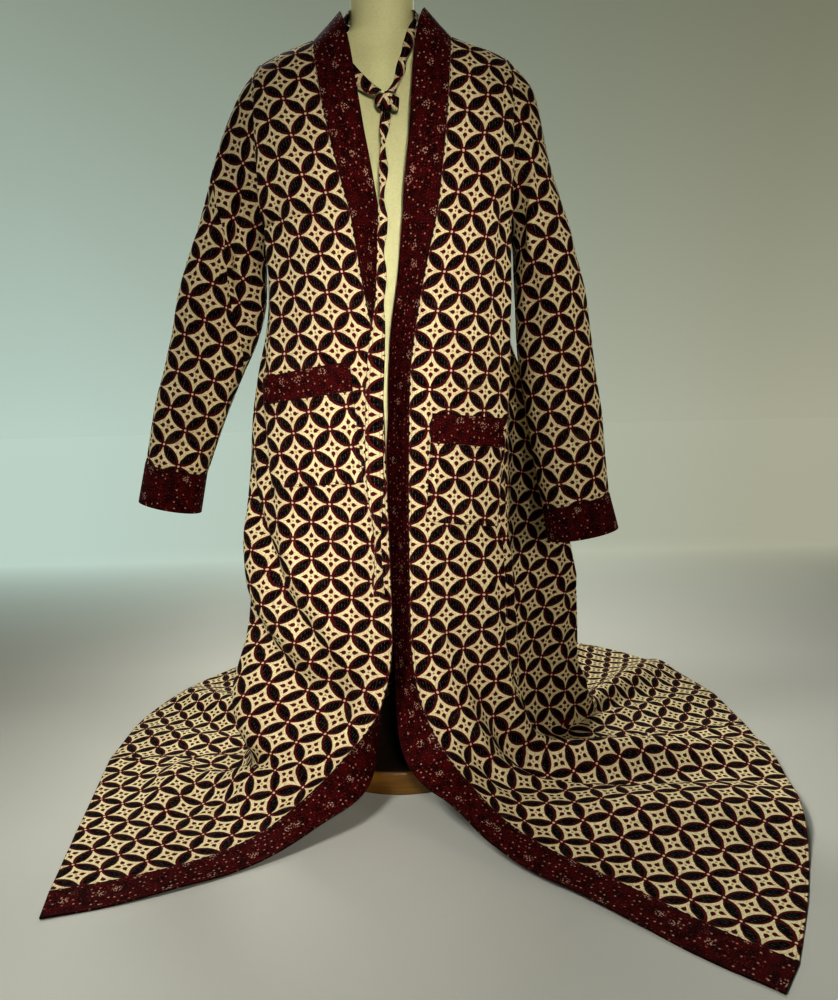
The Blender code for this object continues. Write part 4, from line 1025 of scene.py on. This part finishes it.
def build_pockets():
    for side in ("left", "right"):
        split = POCKET_BAND_HEIGHT / (POCKETS[side][1] - POCKETS[side][4])
        across = np.linspace(0, 1, 37)
        for part, start, end, rows, thick, sewn, finish in (
                ("pocket_band_", 0.0, split, 12, BAND, "row_end", MAROON_CLOTH),
                ("pocket_", split, 1.0, 36, CLOTH, "row_start", POCKET_CLOTH)):
            middle, normals, a, d = pocket_grid(side, np.linspace(start, end, rows + 1), across)
            gape = 0.0035 * np.sin(math.pi * a) ** 1.5 * np.clip(1 - d / 0.8, 0, 1)
            sag = 0.0012 * np.sin(math.pi * a * 3 + 1) * np.sin(math.pi * np.clip(d, 0, 1))
            lift = POCKET_LIFT + thick / 2 + CLOTH / 2 + gape + sag
            grid = middle + normals * lift[..., None]
            shell(part + side + "_cloth", draw_in(grid, **{sewn: SEAM / 2}), normals, thick,
                  ruled(grid), finish, [part + side])


def curled_strip(name, spots, side, face, width, curl, replaces):
    """A strip of cloth folded lengthwise into an open curl, along a route."""
    across = np.linspace(-1, 1, 13)[None, :, None]
    width, curl = np.broadcast_to(width, len(spots)), np.broadcast_to(curl, len(spots))
    angle = across * curl[:, None, None]
    radius = (width / (2 * np.maximum(curl, 0.05)))[:, None, None]
    side, face = side[:, None], face[:, None]
    grid = spots[:, None] + side * radius * np.sin(angle) - face * radius * (1 - np.cos(angle))
    normals = unit(side * np.sin(angle) + face * np.cos(angle))
    shell(name, grid, normals, BELT, ruled(grid), BELT_CLOTH, replaces)


def turned(along, start, degrees):
    """Side and face directions along a route, turned about it."""
    face = unit(start - along * np.sum(start * along, axis=1, keepdims=True))
    side = np.cross(along, face)
    angle = np.radians(degrees)[:, None]
    return side * np.cos(angle) + face * np.sin(angle), face * np.cos(angle) - side * np.sin(angle)


def build_belt():
    share = np.linspace(0, 1, 150)
    spots = spline(route(LOOP_ROUTE), share)
    along = unit(np.gradient(spots, axis=0))
    away = spots.copy()
    away[:, 2] = 0.35 * np.clip(1.25 - spots[:, 2], 0.0, 0.1)
    twist = 34 * np.sin(share * 2 * math.pi * 7.0) * np.clip((0.42 - share) * 12, 0, 1)
    twist += 14 * np.sin(share * 2 * math.pi * 3.0 + 1.0)
    side, face = turned(along, away, twist)
    width = np.interp(share, (0, 0.06, 0.4, 0.6, 0.94, 1.0),
                      (0.015, 0.016, 0.02, 0.022, 0.024, 0.018))
    curled_strip("belt_loop_cloth", spots, side, face, width, 0.75, ["belt_loop"])

    rows = np.array(TAIL)
    z = np.linspace(rows[0, 0], rows[-1, 0], 130)
    x, y, half, twist = spline(np.column_stack([-rows[:, 0], rows[:, 1:]]), -z).T
    spots = point(x, y, z)
    along = unit(np.gradient(spots, axis=0))
    upper = np.clip((z - 0.72) * 8, 0, 1)
    twist = twist + 30 * np.sin(z * 2 * math.pi / 0.085) * upper
    start = np.tile((0.0, -1.0, 0.0), (len(z), 1))
    side, face = turned(along, start, twist)
    curl = 0.35 + 0.55 * upper + 0.5 * np.clip((0.46 - z) * 12, 0, 1)
    curled_strip("belt_tail_cloth", spots, side, face, half * 2, curl, ["belt_tail"])

    # the knot's rings: shift, tilt, half sizes, width of the strip
    turns = (
        ("belt_knot_cloth", (0.0, 0.0, 0.0), 0.0, (0.0165, 0.01), 0.019),
        ("belt_knot_wrap", (0.001, -0.002, -0.001), 1.15, (0.015, 0.0095), 0.014),
        ("belt_knot_loop", (0.015, 0.0, -0.004), 1.45, (0.01, 0.007), 0.0115),
    )
    t = np.linspace(0, 2 * math.pi, 61)
    for name, shift, tilt, size, width in turns:
        c, s = math.cos(tilt), math.sin(tilt)
        ring = point(size[0] * np.cos(t) * c, size[1] * np.sin(t), size[0] * np.cos(t) * s)
        along = unit(np.gradient(ring, axis=0))
        side, face = turned(along, unit(ring), np.zeros(len(t)))
        replaces = ["belt_knot"] if name == "belt_knot_cloth" else []
        curled_strip(name, KNOT_AT + np.array(shift) + ring, side, face, width, 0.8, replaces)


def lathe(name, rings, finish, replaces):
    """A closed solid from rings of points, capped at both ends."""
    rows, columns = rings.shape[:2]
    index = np.arange(rows * columns).reshape(rows, columns)
    after = np.roll(index, -1, axis=1)
    sides = np.stack([index[:-1], after[:-1], after[1:], index[1:]], axis=-1).reshape(-1, 4)
    faces = sides.tolist() + [index[0, ::-1].tolist(), index[-1].tolist()]
    mesh_piece(name, rings.reshape(-1, 3), faces, finish, replaces)


def build_form():
    near_groove = (NECK_GROOVE - 0.0008, NECK_GROOVE, NECK_GROOVE + 0.0008, NECK_GROOVE + 0.002)
    heights = np.concatenate([np.arange(FORM[0][0], 1.312, 0.006), near_groove,
                              (1.322, 1.327, 1.3295)])
    rows = spline([(r[0],) + r for r in FORM], heights)
    turn = np.linspace(0, 2 * math.pi, 97)[:-1]
    c, s = np.cos(turn)[None, :], np.sin(turn)[None, :]
    half, front, back, roundness = (rows[:, k:k + 1] for k in range(1, 5))
    power = 2 / roundness
    shrink = np.ones(len(heights))
    shrink[np.isclose(heights, NECK_GROOVE, atol=1e-4)] = 0.985
    shrink[-2:] = (0.985, 0.95)
    x = half * np.sign(c) * np.abs(c) ** power * shrink[:, None]
    y = np.where(s > 0, back, front) * np.sign(s) * np.abs(s) ** power * shrink[:, None]
    lathe("form_torso_cover", point(x, y, rows[:, :1]), COVER, ["form_torso"])

    turn = np.linspace(0, 2 * math.pi, 161)[:-1]
    steps = np.linspace(0, math.pi / 2, 7)
    rise, run = 1 - np.cos(steps), 1 - np.sin(steps)
    low = [(BASE_EDGE / 2 * a, BASE_RADIUS - BASE_EDGE / 2 * b) for a, b in zip(rise, run)]
    top = [(BASE_HEIGHT - BASE_EDGE * b, BASE_RADIUS - BASE_EDGE * a) for a, b in zip(rise, run)]
    rings = [point(r * np.cos(turn), r * np.sin(turn), z)
             for z, r in low + top + [(BASE_HEIGHT, BASE_MIDDLE)]]
    lathe("form_base_disc", np.array(rings), WOOD, ["form_base"])

    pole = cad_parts["form_pole"]
    pole.data.materials.clear()
    pole.data.materials.append(WOOD)


# ---------------------------------------------------------------- stage

CAMERA_AT = (0.04, -1.33, 0.607)
CAMERA_DOWN, CAMERA_ROLL, CAMERA_LENS = 6.1, 1.5, 27.0
# The key is four narrow lamps in one place, each aimed lower than the one before.
KEY_AT, KEY_SIZE, KEY_COLOUR = (0.3, -2.2, 1.15), 0.35, (1.0, 0.97, 0.9)
KEYS = (
    ("key_chest", (0.02, -0.1, 0.95), 0.29, 17.0),
    ("key_waist", (-0.03, -0.13, 0.72), 0.31, 17.0),
    ("key_skirt", (-0.1, -0.15, 0.47), 0.33, 17.0),
    ("key_floor", (-0.12, -0.2, 0.16), 0.52, 24.0),
)
# name, place, aim, size, power, spread in degrees, colour
LAMPS = tuple((name, KEY_AT, aim, KEY_SIZE, power, spread, KEY_COLOUR)
              for name, aim, power, spread in KEYS) + (
    ("left", (-2.4, 0.3, 0.95), (-0.25, 0.0, 0.75), 0.6, 0.5, 50.0, (1.0, 0.98, 0.94)),
    ("right", (1.9, -1.6, 1.0), (0.24, 0.0, 0.62), 0.5, 1.15, 44.0, (1.0, 0.95, 0.86)),
    ("neck", (0.2, -1.9, 1.5), (0.0, 0.0, 1.28), 0.3, 0.11, 16.0, KEY_COLOUR),
    ("floor", (-1.6, -1.2, 2.2), (-0.05, -0.85, 0.0), 0.9, 6.6, 62.0, (0.98, 1.0, 0.98)),
    ("behind", (-1.0, 2.2, 3.2), (0.0, 0.15, 0.6), 0.8, 3.0, 40.0, (0.98, 1.0, 0.98)),
    ("back floor", (0.5, 1.9, 2.2), (0.1, 0.7, 0.0), 1.2, 13.0, 90.0, (0.98, 1.0, 0.97)),
)
FLOOR_RADIUS, FLOOR_DROP = 60.0, 0.0002
# where the floor turns into the surroundings: how far from the form, and how far behind it
# its own light comes up and its paper darkens
SURROUND, REAR_GLOW, REAR_DARK = (1.25, 2.85), (0.3, 2.0), (0.5, 2.4)


def backdrop(tree, aside, left, right):
    """A tone of the studio's far side, from its left to its right."""
    return blend(tree, aside.math("MULTIPLY_ADD", 1.2, 0.5, clamp=True), left, right)


def build_world():
    """Bright behind the form like a lit backdrop, and nearly dark in front as a light.

    The camera sees a pale tone in front in place of the dark, in every view alike.
    """
    world = bpy.data.worlds.new("studio")
    world.use_nodes = True
    tree = world.node_tree
    aside, behind, up = parts(tree, node(tree, "ShaderNodeTexCoord", "Generated"))
    far = blend(tree, up.math("MULTIPLY", 2.1, clamp=True),
                backdrop(tree, aside, FAR_LEFT, FAR_RIGHT),
                backdrop(tree, aside, HIGH_LEFT, HIGH_RIGHT))
    lit = blend(tree, behind.ramp(0.1, 0.6), FRONT_TONE, far)
    shown = blend(tree, behind.ramp(-0.24, 0.56), SIDE_TONE, far)
    seen = node(tree, "ShaderNodeLightPath", "Is Camera Ray")
    plug(tree, blend(tree, seen, lit, shown), tree.nodes["Background"].inputs["Color"])
    bpy.context.scene.world = world


def floor_finish(name):
    """Pale paper that turns evenly into the tones of the studio further out.

    Behind the form the tone is laid out as a fan from one fixed place, where the photograph
    was taken, so that floor and backdrop meet evenly there.
    """
    made, tree, shader = new_material(name)
    where = node(tree, "ShaderNodeTexCoord", "Object")
    colour = blend(tree, noise(tree, where, 1.2, 3.0), PAPER_DARK, PAPER_PALE)
    colour = blend(tree, noise(tree, where, 500.0) * 0.1, colour, PAPER_SPECK)
    x, y, _ = parts(tree, where)
    away = ((x * x) + (y * y)).math("SQRT").ramp(*SURROUND)
    far = y.ramp(*REAR_DARK).math("MAXIMUM", away)
    plug(tree, blend(tree, far, colour, PAPER_FAR), shader.inputs["Base Color"])
    shader.inputs["Roughness"].default_value = 0.9
    shader.inputs["Specular IOR Level"].default_value = 0.1
    ahead = (y - CAMERA_AT[1]).math("MAXIMUM", 0.2)
    aside = x.math("DIVIDE", ((x * x) + (ahead * ahead)).math("SQRT"))
    rear = y.ramp(*REAR_GLOW)
    tone = blend(tree, rear, SIDE_TONE, backdrop(tree, aside, FAR_LEFT, FAR_RIGHT))
    plug(tree, tone, shader.inputs["Emission Color"])
    glow = rear.math("MAXIMUM", away * node(tree, "ShaderNodeLightPath", "Is Camera Ray"))
    plug(tree, glow, shader.inputs["Emission Strength"])
    return made


def build_stage():
    bpy.ops.mesh.primitive_circle_add(vertices=96, radius=FLOOR_RADIUS, fill_type="NGON",
                                      location=(0, 0, -FLOOR_DROP))
    floor = bpy.context.object
    floor.name = "floor"
    floor.data.materials.append(floor_finish("pale floor"))

    down, roll = math.radians(CAMERA_DOWN), math.radians(CAMERA_ROLL)
    ahead = Vector((0.0, math.cos(down), -math.sin(down)))
    right, up = Vector((1.0, 0.0, 0.0)), Vector((0.0, math.sin(down), math.cos(down)))
    rolled_right = right * math.cos(roll) - up * math.sin(roll)
    rolled_up = up * math.cos(roll) + right * math.sin(roll)
    camera = bpy.data.objects.new("camera", bpy.data.cameras.new("camera"))
    camera.data.lens = CAMERA_LENS
    camera.matrix_world = Matrix((rolled_right, rolled_up, -ahead)).transposed().to_4x4()
    camera.location = CAMERA_AT
    bpy.context.scene.collection.objects.link(camera)
    bpy.context.scene.camera = camera

    for name, place, aim, size, power, spread, colour in LAMPS:
        light = bpy.data.lights.new(name, "AREA")
        light.shape = "DISK"
        light.size = size
        light.energy = power
        light.spread = math.radians(spread)
        light.color = colour
        lamp = bpy.data.objects.new(name, light)
        lamp.location = place
        lamp.rotation_euler = (Vector(aim) - Vector(place)).to_track_quat("-Z", "Y").to_euler()
        bpy.context.scene.collection.objects.link(lamp)
    build_world()
    bpy.context.scene.view_settings.view_transform = "Standard"
    bpy.context.scene.view_settings.look = "Medium High Contrast"


build_panels()
build_neck_band()
build_pockets()
build_belt()
build_form()
build_stage()
